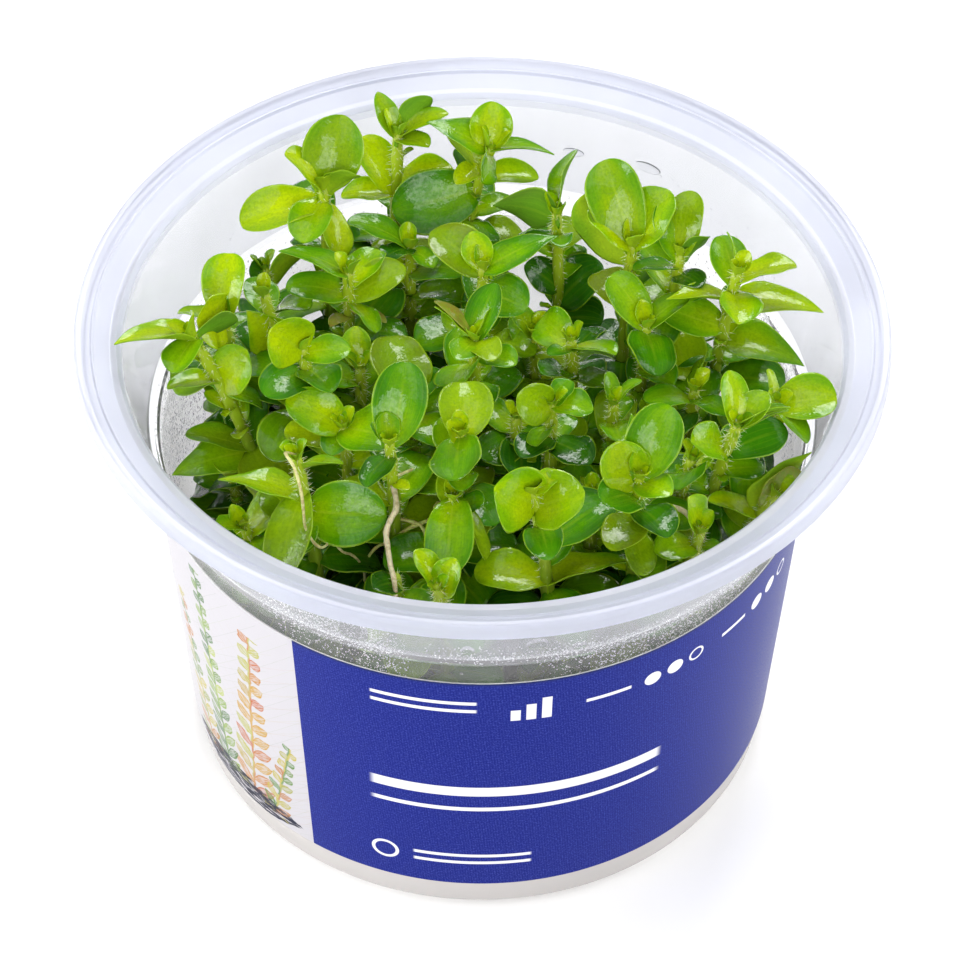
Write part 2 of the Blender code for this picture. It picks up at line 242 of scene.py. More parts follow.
def buildCamera():
    data = bpy.data.cameras.new("photoCamera")
    data.lens = camera["lens"]
    data.sensor_width = camera["sensor"]
    data.clip_start = 0.01
    item = placeObject("photoCamera", data)
    place = Vector(camera["place"])
    look = (Vector(camera["target"]) - place).to_track_quat("-Z", "Y")
    item.matrix_world = Matrix.Translation(place) @ look.to_matrix().to_4x4() @ Matrix.Rotation(
        -camera["roll"], 4, "Z")
    bpy.context.scene.camera = item
    bpy.context.scene.view_settings.view_transform = "Standard"


def cameraAxes():
    # place, forward, right and up of the camera, its focal length in pixels and its middle pixel
    place = Vector(camera["place"])
    forward = (Vector(camera["target"]) - place).normalized()
    right = forward.cross(Vector((0.0, 0.0, 1.0))).normalized()
    focal = camera["lens"] / camera["sensor"] * camera["pixels"]
    centre = Vector((camera["pixels"] / 2, camera["pixels"] / 2))
    return place, forward, right, right.cross(forward), focal, centre


def pixelRay(x, y):
    # where the camera stands, and the direction in which it sees a pixel
    place, forward, right, up, focal, centre = cameraAxes()
    turned = Matrix.Rotation(-camera["roll"], 2) @ Vector((x - centre.x, y - centre.y))
    return place, (forward * focal + right * turned.x - up * turned.y).normalized()


def pixelPoint(x, y, height):
    # where the camera's line through a pixel meets a height, in millimetres
    eye, ray = pixelRay(x, y)
    return eye + ray * ((height * mm - eye.z) / ray.z)


def toPixel(point):
    place, forward, right, up, focal, centre = cameraAxes()
    seen = point - place
    flat = Vector((seen.dot(right), -seen.dot(up))) * (focal / seen.dot(forward))
    return Matrix.Rotation(camera["roll"], 2) @ flat + centre


# Shader groups: specks, water films and printed marks

def makeSpeckGroup():
    inputs = (("Vector", "Vector", None), ("Scale", "Float", 1000.0), ("Low", "Float", 0.4),
              ("High", "Float", 0.7))
    tree, entry, leave = newGroup("fineSpeck", "ShaderNodeTree", inputs, (("Mask", "Float"),))
    value = noise(tree, entry["Vector"], entry["Scale"], 3.0, 0.6)
    tree.links.new(mapRange(tree, value, entry["Low"], entry["High"]), leave["Mask"])
    return tree


def makeWetGroup():
    # patches of water film with a crisp, irregular edge
    inputs = (("Vector", "Vector", None), ("Scale", "Float", 180.0), ("Cover", "Float", 0.5))
    tree, entry, leave = newGroup("wetPatches", "ShaderNodeTree", inputs, (("Mask", "Float"),))
    broad = noise(tree, entry["Vector"], entry["Scale"], 1.5, 0.45)
    fine = noise(tree, entry["Vector"], times(tree, entry["Scale"], 7.0), 2.0, 0.5)
    mixed = plus(tree, broad, times(tree, fine, 0.16))
    edge = minus(tree, 1.06, entry["Cover"])
    far = plus(tree, edge, 0.03)
    tree.links.new(mapRange(tree, mixed, edge, far), leave["Mask"])
    return tree


def makeMarkGroup(name, shape):
    # one printed mark: a bar, dot, ring or leaf outline round a centre, in millimetres on the label
    inputs = (("Place", "Vector", None), ("CentreX", "Float", 0.0), ("CentreY", "Float", 0.0),
              ("HalfLength", "Float", 1.0), ("HalfWidth", "Float", 0.5))
    tree, entry, leave = newGroup(name, "ShaderNodeTree", inputs, (("Mask", "Float"),))
    centre = joinXyz(tree, entry["CentreX"], entry["CentreY"])
    split = splitXyz(tree, vectorMaths(tree, "SUBTRACT", entry["Place"], centre))
    along = over(tree, split[0], entry["HalfLength"])
    across = over(tree, split[1], entry["HalfWidth"])
    if shape == "bar":
        reach = maths(tree, "MAXIMUM", maths(tree, "ABSOLUTE", along), maths(tree, "ABSOLUTE", across))
    elif shape == "leaf":
        # pointed at both ends: the half width shrinks with the square of the place along
        room = minus(tree, 1.0, times(tree, along, along))
        slim = over(tree, maths(tree, "ABSOLUTE", across), maths(tree, "MAXIMUM", room, 0.001))
        reach = maths(tree, "MAXIMUM", maths(tree, "ABSOLUTE", along), slim)
    else:
        squares = plus(tree, times(tree, along, along), times(tree, across, across))
        reach = maths(tree, "SQRT", squares)
    mask = mapRange(tree, reach, 0.97, 1.03, 1.0, 0.0)
    if shape == "ring":
        mask = times(tree, mask, mapRange(tree, reach, 0.72, 0.78))
    tree.links.new(mask, leave["Mask"])
    return tree


def specks(tree, vector, scale, low, high):
    return useGroup(tree, speckGroup, {"Vector": vector, "Scale": scale, "Low": low, "High": high})["Mask"]


speckGroup = makeSpeckGroup()
wetGroup = makeWetGroup()
markGroups = {shape: makeMarkGroup(shape + "Mark", shape) for shape in ("bar", "dot", "ring", "leaf")}


# Turned pieces: the cup and the gel

def arcCorner(before, corner, after, radius, steps=4):
    # round one corner of a profile with an arc, as a short list of points
    toBefore = (before - corner).normalized()
    toAfter = (after - corner).normalized()
    half = toBefore.angle(toAfter) / 2
    cut = min(radius / math.tan(half), (before - corner).length * 0.45, (after - corner).length * 0.45)
    radius = cut * math.tan(half)
    middle = corner + (toBefore + toAfter).normalized() * (radius / math.sin(half))
    start = corner + toBefore * cut - middle
    end = corner + toAfter * cut - middle
    points = []
    for step in range(steps + 1):
        share = step / steps
        points.append(middle + (start * (1 - share) + end * share).normalized() * radius)
    return points


def roundedProfile(corners):
    # corners are (radius from the axis, height, rounding), in metres; the ends stay as they are
    places = [Vector((x, z)) for x, z, rounding in corners]
    points = [places[0]]
    for index in range(1, len(places) - 1):
        rounding = corners[index][2]
        if rounding:
            points += arcCorner(places[index - 1], places[index], places[index + 1], rounding)
        else:
            points.append(places[index])
    return points + [places[-1]]


def setMaterial(tree, geometry, material):
    return addNode(tree, "GeometryNodeSetMaterial", {"Geometry": geometry, "Material": material}).outputs[0]


def makeTurnTree():
    # turns the chain of points that comes in round the vertical axis
    inputs = (("Geometry", "Geometry", None), ("Steps", "Int", 180), ("Material", "Material", None))
    tree, entry, leave = newGroup("turnedWall", "GeometryNodeTree", inputs, (("Geometry", "Geometry"),))
    count = addNode(tree, "GeometryNodeAttributeDomainSize", {"Geometry": entry["Geometry"]}).outputs[0]
    around = plus(tree, entry["Steps"], 1.0)
    grid = addNode(tree, "GeometryNodeMeshGrid", {"Vertices X": count, "Vertices Y": around})
    index = addNode(tree, "GeometryNodeInputIndex").outputs[0]
    onProfile = maths(tree, "FLOOR", over(tree, index, around))
    onCircle = minus(tree, index, times(tree, onProfile, around))
    angle = times(tree, over(tree, onCircle, entry["Steps"]), math.tau)
    position = addNode(tree, "GeometryNodeInputPosition").outputs[0]
    sample = addNode(tree, "GeometryNodeSampleIndex", data_type="FLOAT_VECTOR")
    feed(sample, {"Geometry": entry["Geometry"], "Value": position, "Index": onProfile})
    split = splitXyz(tree, sample.outputs[0])
    x = times(tree, split[0], maths(tree, "COSINE", angle))
    y = times(tree, split[0], maths(tree, "SINE", angle))
    moved = addNode(tree, "GeometryNodeSetPosition",
                    {"Geometry": grid.outputs["Mesh"], "Position": joinXyz(tree, x, y, split[2])})
    inputs = {"Geometry": moved.outputs[0], "Distance": 0.005 * mm}
    joined = addNode(tree, "GeometryNodeMergeByDistance", inputs).outputs[0]
    tree.links.new(setMaterial(tree, joined, entry["Material"]), leave["Geometry"])
    return tree


turnTree = makeTurnTree()


def addTurned(name, corners, material, steps):
    profile = roundedProfile(corners)
    edges = [(index, index + 1) for index in range(len(profile) - 1)]
    piece = newPiece(name, [(point.x, 0.0, point.y) for point in profile], [], (), edges)
    applyNodes(piece, turnTree, {"Steps": steps, "Material": material})
    fixNormals(piece)
    return piece


cup = {
    "rimRadius": 59.0 * mm,
    "height": 81.0 * mm,
    "mouthRadius": 52.5 * mm,
    "mouthZ": 78.4 * mm,
    "stepRadius": 50.2 * mm,
    "stepZ": 62.0 * mm,
    "ledgeRadius": 48.5 * mm,
    "ledgeZ": 62.7 * mm,
    "bodyTopRadius": 48.8 * mm,
    "bodyTopZ": 61.4 * mm,
    "bodyFootRadius": 45.3 * mm,
    "bodyFootZ": 1.4 * mm,
    "wall": 0.9 * mm,
    "footRingRadius": 41.5 * mm,
    "recess": 0.7 * mm,
    "innerFootZ": 3.4 * mm,
    "floorRound": 1.8 * mm,
    "steps": 200,
    # which faces have which plastic
    "flangeInset": 0.8 * mm,       # the milky flange starts this far inside the mouth
    "flangeDrop": 4.0 * mm,        # and reaches this far below it
    "footBase": 1.45 * mm,         # below this everything is the milky foot
    "footBand": 7.0 * mm,          # and outside, up to here
    "collarRise": 0.3 * mm,        # the hazy collar starts this far above the step
    # how much light passes each plastic, its colour, and how frosted it is
    "wallClear": 0.96,
    "wallTint": (0.985, 0.985, 0.99),
    "wallFrost": 0.01,
    "collarClear": 0.80,
    "collarTint": (0.91, 0.915, 0.965),
    "collarFrost": 0.06,
    "flangeClear": 0.62,
    "flangeTint": (0.78, 0.80, 0.91),
    "flangeFrost": 0.30,
    "footClear": 0.42,
    "footTint": (0.80, 0.765, 0.745),
    "footFrost": 0.22,
    "refraction": 1.36,
}


def outerWall(z):
    share = (z - cup["bodyFootZ"]) / (cup["bodyTopZ"] - cup["bodyFootZ"])
    return cup["bodyFootRadius"] + share * (cup["bodyTopRadius"] - cup["bodyFootRadius"])


def cupCorners():
    floor = cup["recess"] + cup["wall"]
    innerFoot = outerWall(cup["innerFootZ"]) - cup["wall"]
    rim, top = cup["rimRadius"], cup["height"]
    mouth, mouthZ = cup["mouthRadius"], cup["mouthZ"]
    inside = [
        (0.0, floor, 0.0),
        (innerFoot - cup["floorRound"], floor, 1.5 * mm),
        (innerFoot, cup["innerFootZ"], 1.5 * mm),
        (cup["bodyTopRadius"] - cup["wall"], cup["bodyTopZ"], 0.6 * mm),
        (cup["ledgeRadius"], cup["ledgeZ"], 0.35 * mm),
        (cup["stepRadius"] - cup["wall"], cup["ledgeZ"] + 0.4 * mm, 0.4 * mm),
        (mouth, mouthZ - 0.6 * mm, 0.5 * mm),
    ]
    flange = [
        (mouth + 0.6 * mm, mouthZ + 0.1 * mm, 0.3 * mm),
        (mouth + 1.6 * mm, mouthZ, 0.4 * mm),
        (rim - 2.75 * mm, top - 1.35 * mm, 0.15 * mm),
        (rim - 2.45 * mm, top - 0.85 * mm, 0.15 * mm),
        (rim - 2.1 * mm, top - 1.05 * mm, 0.15 * mm),
        (rim - 0.9 * mm, top - 0.2 * mm, 0.6 * mm),
        (rim - 0.05 * mm, top - 0.15 * mm, 0.3 * mm),
        (rim + 0.25 * mm, top - 1.0 * mm, 0.4 * mm),
        (rim + 0.3 * mm, top - 2.7 * mm, 0.15 * mm),
        (rim - 0.6 * mm, top - 2.8 * mm, 0.15 * mm),
        (rim - 1.1 * mm, top - 1.4 * mm, 0.4 * mm),
        (mouth + 1.4 * mm, mouthZ - 1.1 * mm, 0.5 * mm),
        (mouth + 0.7 * mm, mouthZ - 2.4 * mm, 0.5 * mm),
    ]
    outside = [
        (cup["stepRadius"] + 0.1 * mm, cup["stepZ"] + 0.6 * mm, 0.3 * mm),
        (cup["stepRadius"], cup["stepZ"], 0.45 * mm),
        (cup["bodyTopRadius"], cup["bodyTopZ"], 0.3 * mm),
        (outerWall(cup["footBand"]), cup["footBand"], 0.0),
        (cup["bodyFootRadius"], cup["bodyFootZ"], 0.9 * mm),
        (cup["bodyFootRadius"] - 1.2 * mm, 0.0, 0.5 * mm),
        (cup["footRingRadius"], 0.0, 0.4 * mm),
        (cup["footRingRadius"] - 0.8 * mm, cup["recess"], 0.4 * mm),
        (0.0, cup["recess"], 0.0),
    ]
    return inside + flange + outside


def makePlastic(name, zone):
    values = {"Transmission Weight": cup[zone + "Clear"], "IOR": cup["refraction"], "Specular IOR Level": 0.5}
    material, tree, shader = newMaterial(name, values)
    place, tint = objectPlace(tree), cup[zone + "Tint"]
    flow = noise(tree, place, 60.0, 2.0)
    haze = specks(tree, place, 900.0, 0.45, 0.8)
    rough = plus(tree, cup[zone + "Frost"], times(tree, flow, 0.05))
    rough = plus(tree, rough, times(tree, haze, 0.02))
    shade = tuple(0.95 * part for part in tint)
    feed(shader, {"Roughness": rough, "Normal": bump(tree, flow, 0.02 * mm, 0.2),
                  "Base Color": mixColour(tree, mapRange(tree, flow, 0.35, 0.65), tint, shade)})
    return material


def buildCup():
    piece = addTurned("cupShell", cupCorners(), makePlastic("clearWall", "wall"), cup["steps"])
    for name, zone in (("milkyFlange", "flange"), ("milkyFoot", "foot"), ("hazyCollar", "collar")):
        piece.data.materials.append(makePlastic(name, zone))
    for polygon in piece.data.polygons:
        centre = polygon.center
        aside = math.hypot(centre.x, centre.y)
        if aside > cup["mouthRadius"] - cup["flangeInset"] and centre.z > cup["mouthZ"] - cup["flangeDrop"]:
            polygon.material_index = 1
        elif centre.z < cup["footBase"] or (centre.z < cup["footBand"] and polygon.normal.z < 0.0):
            polygon.material_index = 2
        elif centre.z > cup["stepZ"] + cup["collarRise"]:
            polygon.material_index = 3
    finishPiece(piece, "clear_plastic", "cup")
    print("cup: turned wall with", len(piece.data.polygons), "faces")


# Label

label = {
    "bottom": 6.6 * mm,
    "top": 56.9 * mm,
    "clearance": 0.3 * mm,
    "thickness": 0.2 * mm,
    "gapDegrees": 5.0,
    "steps": 220,
    "rows": 8,
    # edges of the white panel, in millimetres round from the front
    "panelLeft": -89.5,
    "panelRight": -27.5,
    "topShade": (56.2, 56.7),      # painted shade: a dark line along the cut upper edge, between these heights
    "shadeColour": (0.010, 0.018, 0.10),
    "blue": (0.002, 0.008, 0.17),
    "blueThread": (0.075, 0.115, 0.50),
    "panelWhite": (0.51, 0.495, 0.525),
    "ink": (0.80, 0.80, 0.83),
    # the blue's texture: woven threads on both diagonals and specks, and how much of it shows
    "weave": (8.6, 7.2),
    "speckScale": 3.4,
    "threadShare": 0.28,
    "backWhites": ((0.90, 0.90, 0.89), (0.96, 0.96, 0.95)),
}

# plain marks on the blue: (shape, centre round from the front, height, half length, half width)
labelMarks = (
    ("bar", -8.0, 50.4, 7.5, 0.35), ("bar", -8.0, 52.2, 7.5, 0.35), ("bar", 5.0, 49.2, 0.7, 1.2),
    ("bar", 7.2, 49.8, 0.7, 1.8), ("bar", 9.4, 50.4, 0.7, 2.4), ("bar", 18.5, 50.1, 3.4, 0.35),
    ("dot", 25.4, 50.0, 1.35, 1.35), ("dot", 29.2, 50.2, 1.35, 1.35), ("ring", 33.0, 50.4, 1.35, 1.35),
    ("bar", 40.8, 50.1, 2.6, 0.35), ("dot", 46.4, 50.3, 1.35, 1.35), ("dot", 50.2, 50.4, 1.35, 1.35),
    ("ring", 54.0, 50.4, 1.35, 1.35), ("bar", 6.0, 26.2, 22.0, 0.45), ("bar", 6.0, 30.6, 22.0, 1.1),
    ("ring", -14.6, 13.0, 2.2, 2.2), ("bar", -1.0, 12.2, 9.0, 0.35), ("bar", -1.0, 14.0, 9.0, 0.35),
)

# generic pencilled sprigs on the white panel: foot aside and height, height of the sprig, lean in
# degrees, spacing of its leaves, their length and width, climb in degrees, and number of its colours
sprigs = (
    (-39.5, 8.5, 41.0, 5.0, 3.4, 5.6, 1.15, 38.0, 1),
    (-46.0, 8.0, 45.0, -3.0, 3.0, 4.6, 1.0, 46.0, 0),
    (-51.5, 7.8, 33.0, -9.0, 2.7, 4.2, 0.95, 30.0, 2),
    (-35.0, 8.0, 21.0, 14.0, 2.6, 3.8, 0.85, 42.0, 2),
)
pencil = {
    "greens": ((0.055, 0.15, 0.03), (0.20, 0.31, 0.04), (0.36, 0.42, 0.09)),
    "warm": ((0.46, 0.27, 0.035), (0.42, 0.115, 0.03), (0.38, 0.37, 0.07)),
    "mixed": ((0.11, 0.22, 0.05), (0.42, 0.36, 0.05), (0.40, 0.17, 0.04)),
    "ground": (0.012, 0.014, 0.035),
    "groundPlace": (-43.5, 9.4, 15.0, 3.0),      # middle, height, half length and half height
}


def buildLabelBand():
    halfGap = math.radians(label["gapDegrees"] / 2)
    start = math.pi / 2 + halfGap
    turn = math.tau - 2 * halfGap
    middle = outerWall((label["bottom"] + label["top"]) / 2) + label["clearance"] + label["thickness"]
    heights = [label["bottom"] + (label["top"] - label["bottom"]) * row / label["rows"]
               for row in range(label["rows"] + 1)]
    loopHeights = [(z, 1) for z in heights] + [(z, 0) for z in reversed(heights)]
    points, faces, pairs = [], [], []
    for step in range(label["steps"] + 1):
        angle = start + turn * step / label["steps"]
        fromFront = (angle - 1.5 * math.pi) * middle / mm
        for z, outside in loopHeights:
            radius = outerWall(z) + label["clearance"] + outside * label["thickness"]
            points.append((radius * math.cos(angle), radius * math.sin(angle), z))
            pairs.append((fromFront, z / mm))
    size = len(loopHeights)
    printed = []
    for step in range(label["steps"]):
        for side in range(size):
            after = (side + 1) % size
            faces.append((step * size + side, (step + 1) * size + side,
                          (step + 1) * size + after, step * size + after))
            printed.append(side < label["rows"])
    faces.append(tuple(range(size)))
    faces.append(tuple(reversed(range(label["steps"] * size, (label["steps"] + 1) * size))))
    printed += [False, False]
    return points, faces, pairs, printed


def makeLabelPrint():
    material, tree, shader = newMaterial("labelPrint", {"Specular IOR Level": 0.07})
    place = addNode(tree, "ShaderNodeUVMap", uv_map="labelMap").outputs[0]
    flat = vectorMaths(tree, "MULTIPLY", place, (1.0, 1.0, 0.0))
    split = splitXyz(tree, flat)
    speck = specks(tree, flat, label["speckScale"], 0.48, 0.64)
    weaveX = maths(tree, "SINE", times(tree, plus(tree, split[0], split[1]), label["weave"][0]))
    weaveY = maths(tree, "SINE", times(tree, minus(tree, split[0], split[1]), label["weave"][1]))
    weave = mapRange(tree, times(tree, weaveX, weaveY), 0.0, 1.0, 0.0, 0.8)
    thread = times(tree, plus(tree, weave, speck), label["threadShare"])
    blue = mixColour(tree, thread, label["blue"], label["blueThread"])
    # painted shade: the dark line along the cut upper edge
    blue = mixColour(tree, mapRange(tree, split[1], *label["topShade"]), blue, label["shadeColour"])
    for shape, x, y, halfLength, halfWidth in labelMarks:
        values = {"Place": flat, "CentreX": x, "CentreY": y, "HalfLength": halfLength, "HalfWidth": halfWidth}
        mask = useGroup(tree, markGroups[shape], values)["Mask"]
        blue = mixColour(tree, mask, blue, label["ink"])
    panel = printSprig(tree, flat)
    onPanel = times(tree, maths(tree, "LESS_THAN", split[0], label["panelRight"]),
                    maths(tree, "GREATER_THAN", split[0], label["panelLeft"]))
    feed(shader, {"Base Color": mixColour(tree, onPanel, blue, panel),
                  "Roughness": mapRange(tree, speck, 0.0, 1.0, 0.30, 0.42),
                  "Normal": bump(tree, thread, 0.02 * mm, 0.5)})
    return material


def makeSprigGroup():
    # a stem with leaves to both sides by turns; gives the mask of its ink and a value for its colour
    inputs = (("Place", "Vector", None), ("FootX", "Float", 0.0), ("FootY", "Float", 0.0),
              ("Height", "Float", 40.0), ("Lean", "Float", 0.0), ("Spacing", "Float", 3.0),
              ("Length", "Float", 5.0), ("Width", "Float", 1.0), ("Climb", "Float", 0.7))
    outputs = (("Mask", "Float"), ("Shade", "Float"))
    tree, entry, leave = newGroup("sprigMark", "ShaderNodeTree", inputs, outputs)
    foot = joinXyz(tree, entry["FootX"], entry["FootY"])
    moved = vectorMaths(tree, "SUBTRACT", entry["Place"], foot)
    upright = addNode(tree, "ShaderNodeVectorRotate", {"Vector": moved, "Angle": entry["Lean"]},
                      rotation_type="Z_AXIS").outputs[0]
    split = splitXyz(tree, upright)
    aside = maths(tree, "ABSOLUTE", split[0])
    hand = maths(tree, "GREATER_THAN", split[0], 0.0)
    up = plus(tree, split[1], times(tree, hand, times(tree, entry["Spacing"], 0.5)))
    slope = maths(tree, "TANGENT", entry["Climb"])
    fromLine = over(tree, minus(tree, up, times(tree, aside, slope)), entry["Spacing"])
    number = maths(tree, "ROUND", fromLine)
    rise = minus(tree, up, times(tree, number, entry["Spacing"]))
    cosine, sine = maths(tree, "COSINE", entry["Climb"]), maths(tree, "SINE", entry["Climb"])
    along = plus(tree, times(tree, aside, cosine), times(tree, rise, sine))
    across = minus(tree, times(tree, rise, cosine), times(tree, aside, sine))
    high = over(tree, split[1], entry["Height"])
    length = times(tree, entry["Length"], mapRange(tree, high, 0.0, 1.0, 1.1, 0.5))
    share = over(tree, along, length)
    belly = times(tree, share, minus(tree, 1.0, share))
    room = times(tree, maths(tree, "MAXIMUM", belly, 0.0), times(tree, entry["Width"], 4.0))
    blade = mapRange(tree, minus(tree, maths(tree, "ABSOLUTE", across), room), -0.12, 0.06, 1.0, 0.0)
    inHeight = times(tree, maths(tree, "GREATER_THAN", high, 0.04), maths(tree, "LESS_THAN", high, 1.04))
    hatching = joinXyz(tree, times(tree, along, 0.5), times(tree, across, 3.2), number)
    hatch = noise(tree, hatching, 1.0, 2.0, 0.6)
    outline = mapRange(tree, minus(tree, room, maths(tree, "ABSOLUTE", across)), 0.05, 0.35, 0.5, 0.0)
    inked = times(tree, blade, plus(tree, mapRange(tree, hatch, 0.35, 0.65, 0.30, 0.95), outline))
    stem = mapRange(tree, aside, 0.18, 0.42, 0.85, 0.0)
    both = maths(tree, "MINIMUM", times(tree, maths(tree, "MAXIMUM", inked, stem), inHeight), 1.0)
    tree.links.new(both, leave["Mask"])
    seed = plus(tree, times(tree, number, 1.7), times(tree, hand, 5.3))
    chance = addNode(tree, "ShaderNodeTexWhiteNoise", {"W": plus(tree, seed, entry["FootX"])},
                     noise_dimensions="1D").outputs[0]
    tree.links.new(chance, leave["Shade"])
    return tree


def printSprig(tree, flat):
    # coloured-pencil sprigs on white, over a strip of dark hatching
    group = makeSprigGroup()
    wobble = noise(tree, flat, 0.55, 2.0, 0.5)
    shifted = vectorMaths(tree, "ADD", flat, joinXyz(tree, wobble, wobble))
    colour = mixColour(tree, 0.0, label["panelWhite"], label["panelWhite"])
    palettes = [pencil["greens"], pencil["warm"], pencil["mixed"]]
    for footX, footY, height, lean, spacing, length, width, climb, palette in sprigs:
        values = {"Place": shifted, "FootX": footX, "FootY": footY, "Height": height,
                  "Lean": math.radians(lean), "Spacing": spacing, "Length": length, "Width": width,
                  "Climb": math.radians(climb)}
        mark = useGroup(tree, group, values)
        first, second, third = palettes[palette]
        ink = mixColour(tree, mapRange(tree, mark["Shade"], 0.25, 0.55), first, second)
        ink = mixColour(tree, mapRange(tree, mark["Shade"], 0.70, 0.80), ink, third)
        colour = mixColour(tree, mark["Mask"], colour, ink)
    middle, height, halfLength, halfHeight = pencil["groundPlace"]
    values = {"Place": shifted, "CentreX": middle, "CentreY": height, "HalfLength": halfLength,
              "HalfWidth": halfHeight}
    patch = useGroup(tree, markGroups["leaf"], values)["Mask"]
    slant = {0: shifted, "Rotation": (0.0, 0.0, 0.5), "Scale": (0.35, 2.4, 1.0)}
    stretched = addNode(tree, "ShaderNodeMapping", slant)
    strokes = mapRange(tree, noise(tree, stretched.outputs[0], 1.0, 3.0, 0.6), 0.36, 0.54)
    return mixColour(tree, times(tree, patch, strokes), colour, pencil["ground"])


def makeLabelBack():
    # scatters deeply, so that the light from outside shines through to the inside of the cup
    values = {"Roughness": 0.6, "Subsurface Weight": 1.0, "Subsurface Scale": 3.0 * mm,
              "Subsurface Radius": (1.0, 1.0, 1.0)}
    material, tree, shader = newMaterial("labelBack", values)
    fibre = noise(tree, objectPlace(tree), 1400.0, 4.0, 0.7)
    feed(shader, {"Base Color": mixColour(tree, fibre, *label["backWhites"]),
                  "Normal": bump(tree, fibre, 0.03 * mm, 0.5)})
    return material


def buildLabel():
    points, faces, pairs, printed = buildLabelBand()
    piece = newPiece("labelBand", points, faces, (makeLabelPrint(), makeLabelBack()))
    setPointUv(piece.data, "labelMap", pairs)
    piece.data.polygons.foreach_set("material_index", [0 if isPrinted else 1 for isPrinted in printed])
    fixNormals(piece)
    piece.data.set_sharp_from_angle(angle=math.radians(40))
    finishPiece(piece, "label_print", "label")
    print("label: band with", len(labelMarks), "plain marks and", len(sprigs), "generic sprigs")


# Gel

gel = {
    "top": 27.0 * mm,
    "meniscus": 0.8 * mm,
    "meniscusWidth": 2.2 * mm,
    "clearance": 0.3 * mm,
    "steps": 120,
    "colour": (0.84, 0.80, 0.72),
    "paleColour": (0.90, 0.88, 0.80),
    "fleckColour": (0.42, 0.32, 0.16),
}


def makeGelMaterial():
    values = {"IOR": 1.34, "Transmission Weight": 0.15, "Subsurface Weight": 0.5,
              "Subsurface Scale": 3.0 * mm, "Subsurface Radius": (1.0, 0.85, 0.6)}
    material, tree, shader = newMaterial("nutrientGel", values)
    place = objectPlace(tree)
    cloud = noise(tree, place, 90.0, 4.0, 0.6)
    fleck = specks(tree, place, 520.0, 0.62, 0.72)
    colour = mixColour(tree, cloud, gel["colour"], gel["paleColour"])
    colour = mixColour(tree, times(tree, fleck, 0.5), colour, gel["fleckColour"])
    feed(shader, {"Base Color": colour, "Roughness": mapRange(tree, cloud, 0.3, 0.7, 0.12, 0.35),
                  "Normal": bump(tree, cloud, 0.15 * mm, 0.4)})
    return material


def buildGel():
    bottom = cup["recess"] + cup["wall"] + gel["clearance"]
    edge = outerWall(gel["top"]) - cup["wall"] - gel["clearance"]
    foot = outerWall(cup["innerFootZ"]) - cup["wall"] - gel["clearance"]
    corners = [
        (0.0, gel["top"], 0.0),
        (edge * 0.3, gel["top"], 0.0),
        (edge * 0.6, gel["top"], 0.0),
        (edge - gel["meniscusWidth"], gel["top"], 2.0 * mm),
        (edge, gel["top"] + gel["meniscus"], 0.1 * mm),
        (foot, cup["innerFootZ"] + 0.5 * mm, 1.2 * mm),
        (foot - cup["floorRound"], bottom, 1.2 * mm),
        (0.0, bottom, 0.0),
    ]
    piece = addTurned("gelLayer", corners, makeGelMaterial(), gel["steps"])
    finishPiece(piece, "gel", "gel")
    print("gel: layer up to", round(gel["top"] / mm, 1), "mm")


# Shoots: the stems stand where the solids have them, and the leaves that the
# photograph shows are turned towards the pixel where it has their tips

shoot = {
    "radiusFoot": 1.15 * mm,
    "radiusTip": 0.85 * mm,
    "bend": (0.12, 0.55),
    "samples": 24,
    "footSpacing": 6.5 * mm,
    "footReach": 40.0 * mm,
    "pushRounds": 200,
    "nodeHalf": 0.9 * mm,
    "nodeDepths": (0.0, 5.5 * mm, 14.5 * mm, 25.0 * mm),
    "nodePitches": (66.0, 44.0, 20.0, 2.0),
    "nodeSizes": (0.66, 1.0, 1.06, 0.95),
    "pitchSpread": 9.0,
    "lengthSpread": (0.88, 1.08),
    "leafBend": 26.0,
    "seed": 11,
    "turns": ((0, 0), (9, 0), (-9, 0), (0, 10), (0, -10), (18, 6), (-18, 6), (18, -8), (-18, -8),
              (0, 20), (0, -20), (28, 14), (-28, 14), (28, -14), (-28, -14), (36, 0), (-36, 0)),
    "scales": (1.0, 0.9, 0.8, 0.68, 0.56),
    "stemSides": 12,
    "stemStep": 1.7 * mm,
    "sunk": 2.0 * mm,              # how deep the stems stand in the gel
    "girth": (0.92, 0.22),         # share of the radius between the nodes, and what a node adds
    "nodeSwell": 1.3 * mm,
    "tipShare": 0.7,               # share of the girth at the very tip
    "hairReach": 24 * mm,          # how far down the hairs go
    "growthSeed": 100,
    "apart": 7 * mm,               # a leaf of the solids keeps this far from a seen one below or above,
    "alike": 0.45,                 # if both point the same way by more than this
}

# how the built leaves keep clear of the seen ones in the picture
watch = {
    "perMm": 3.6,                  # pixels to the millimetre, about
    "threadReach": 4.0,
    "leafReach": 2.2,
    "ahead": 0.5 * mm,
}

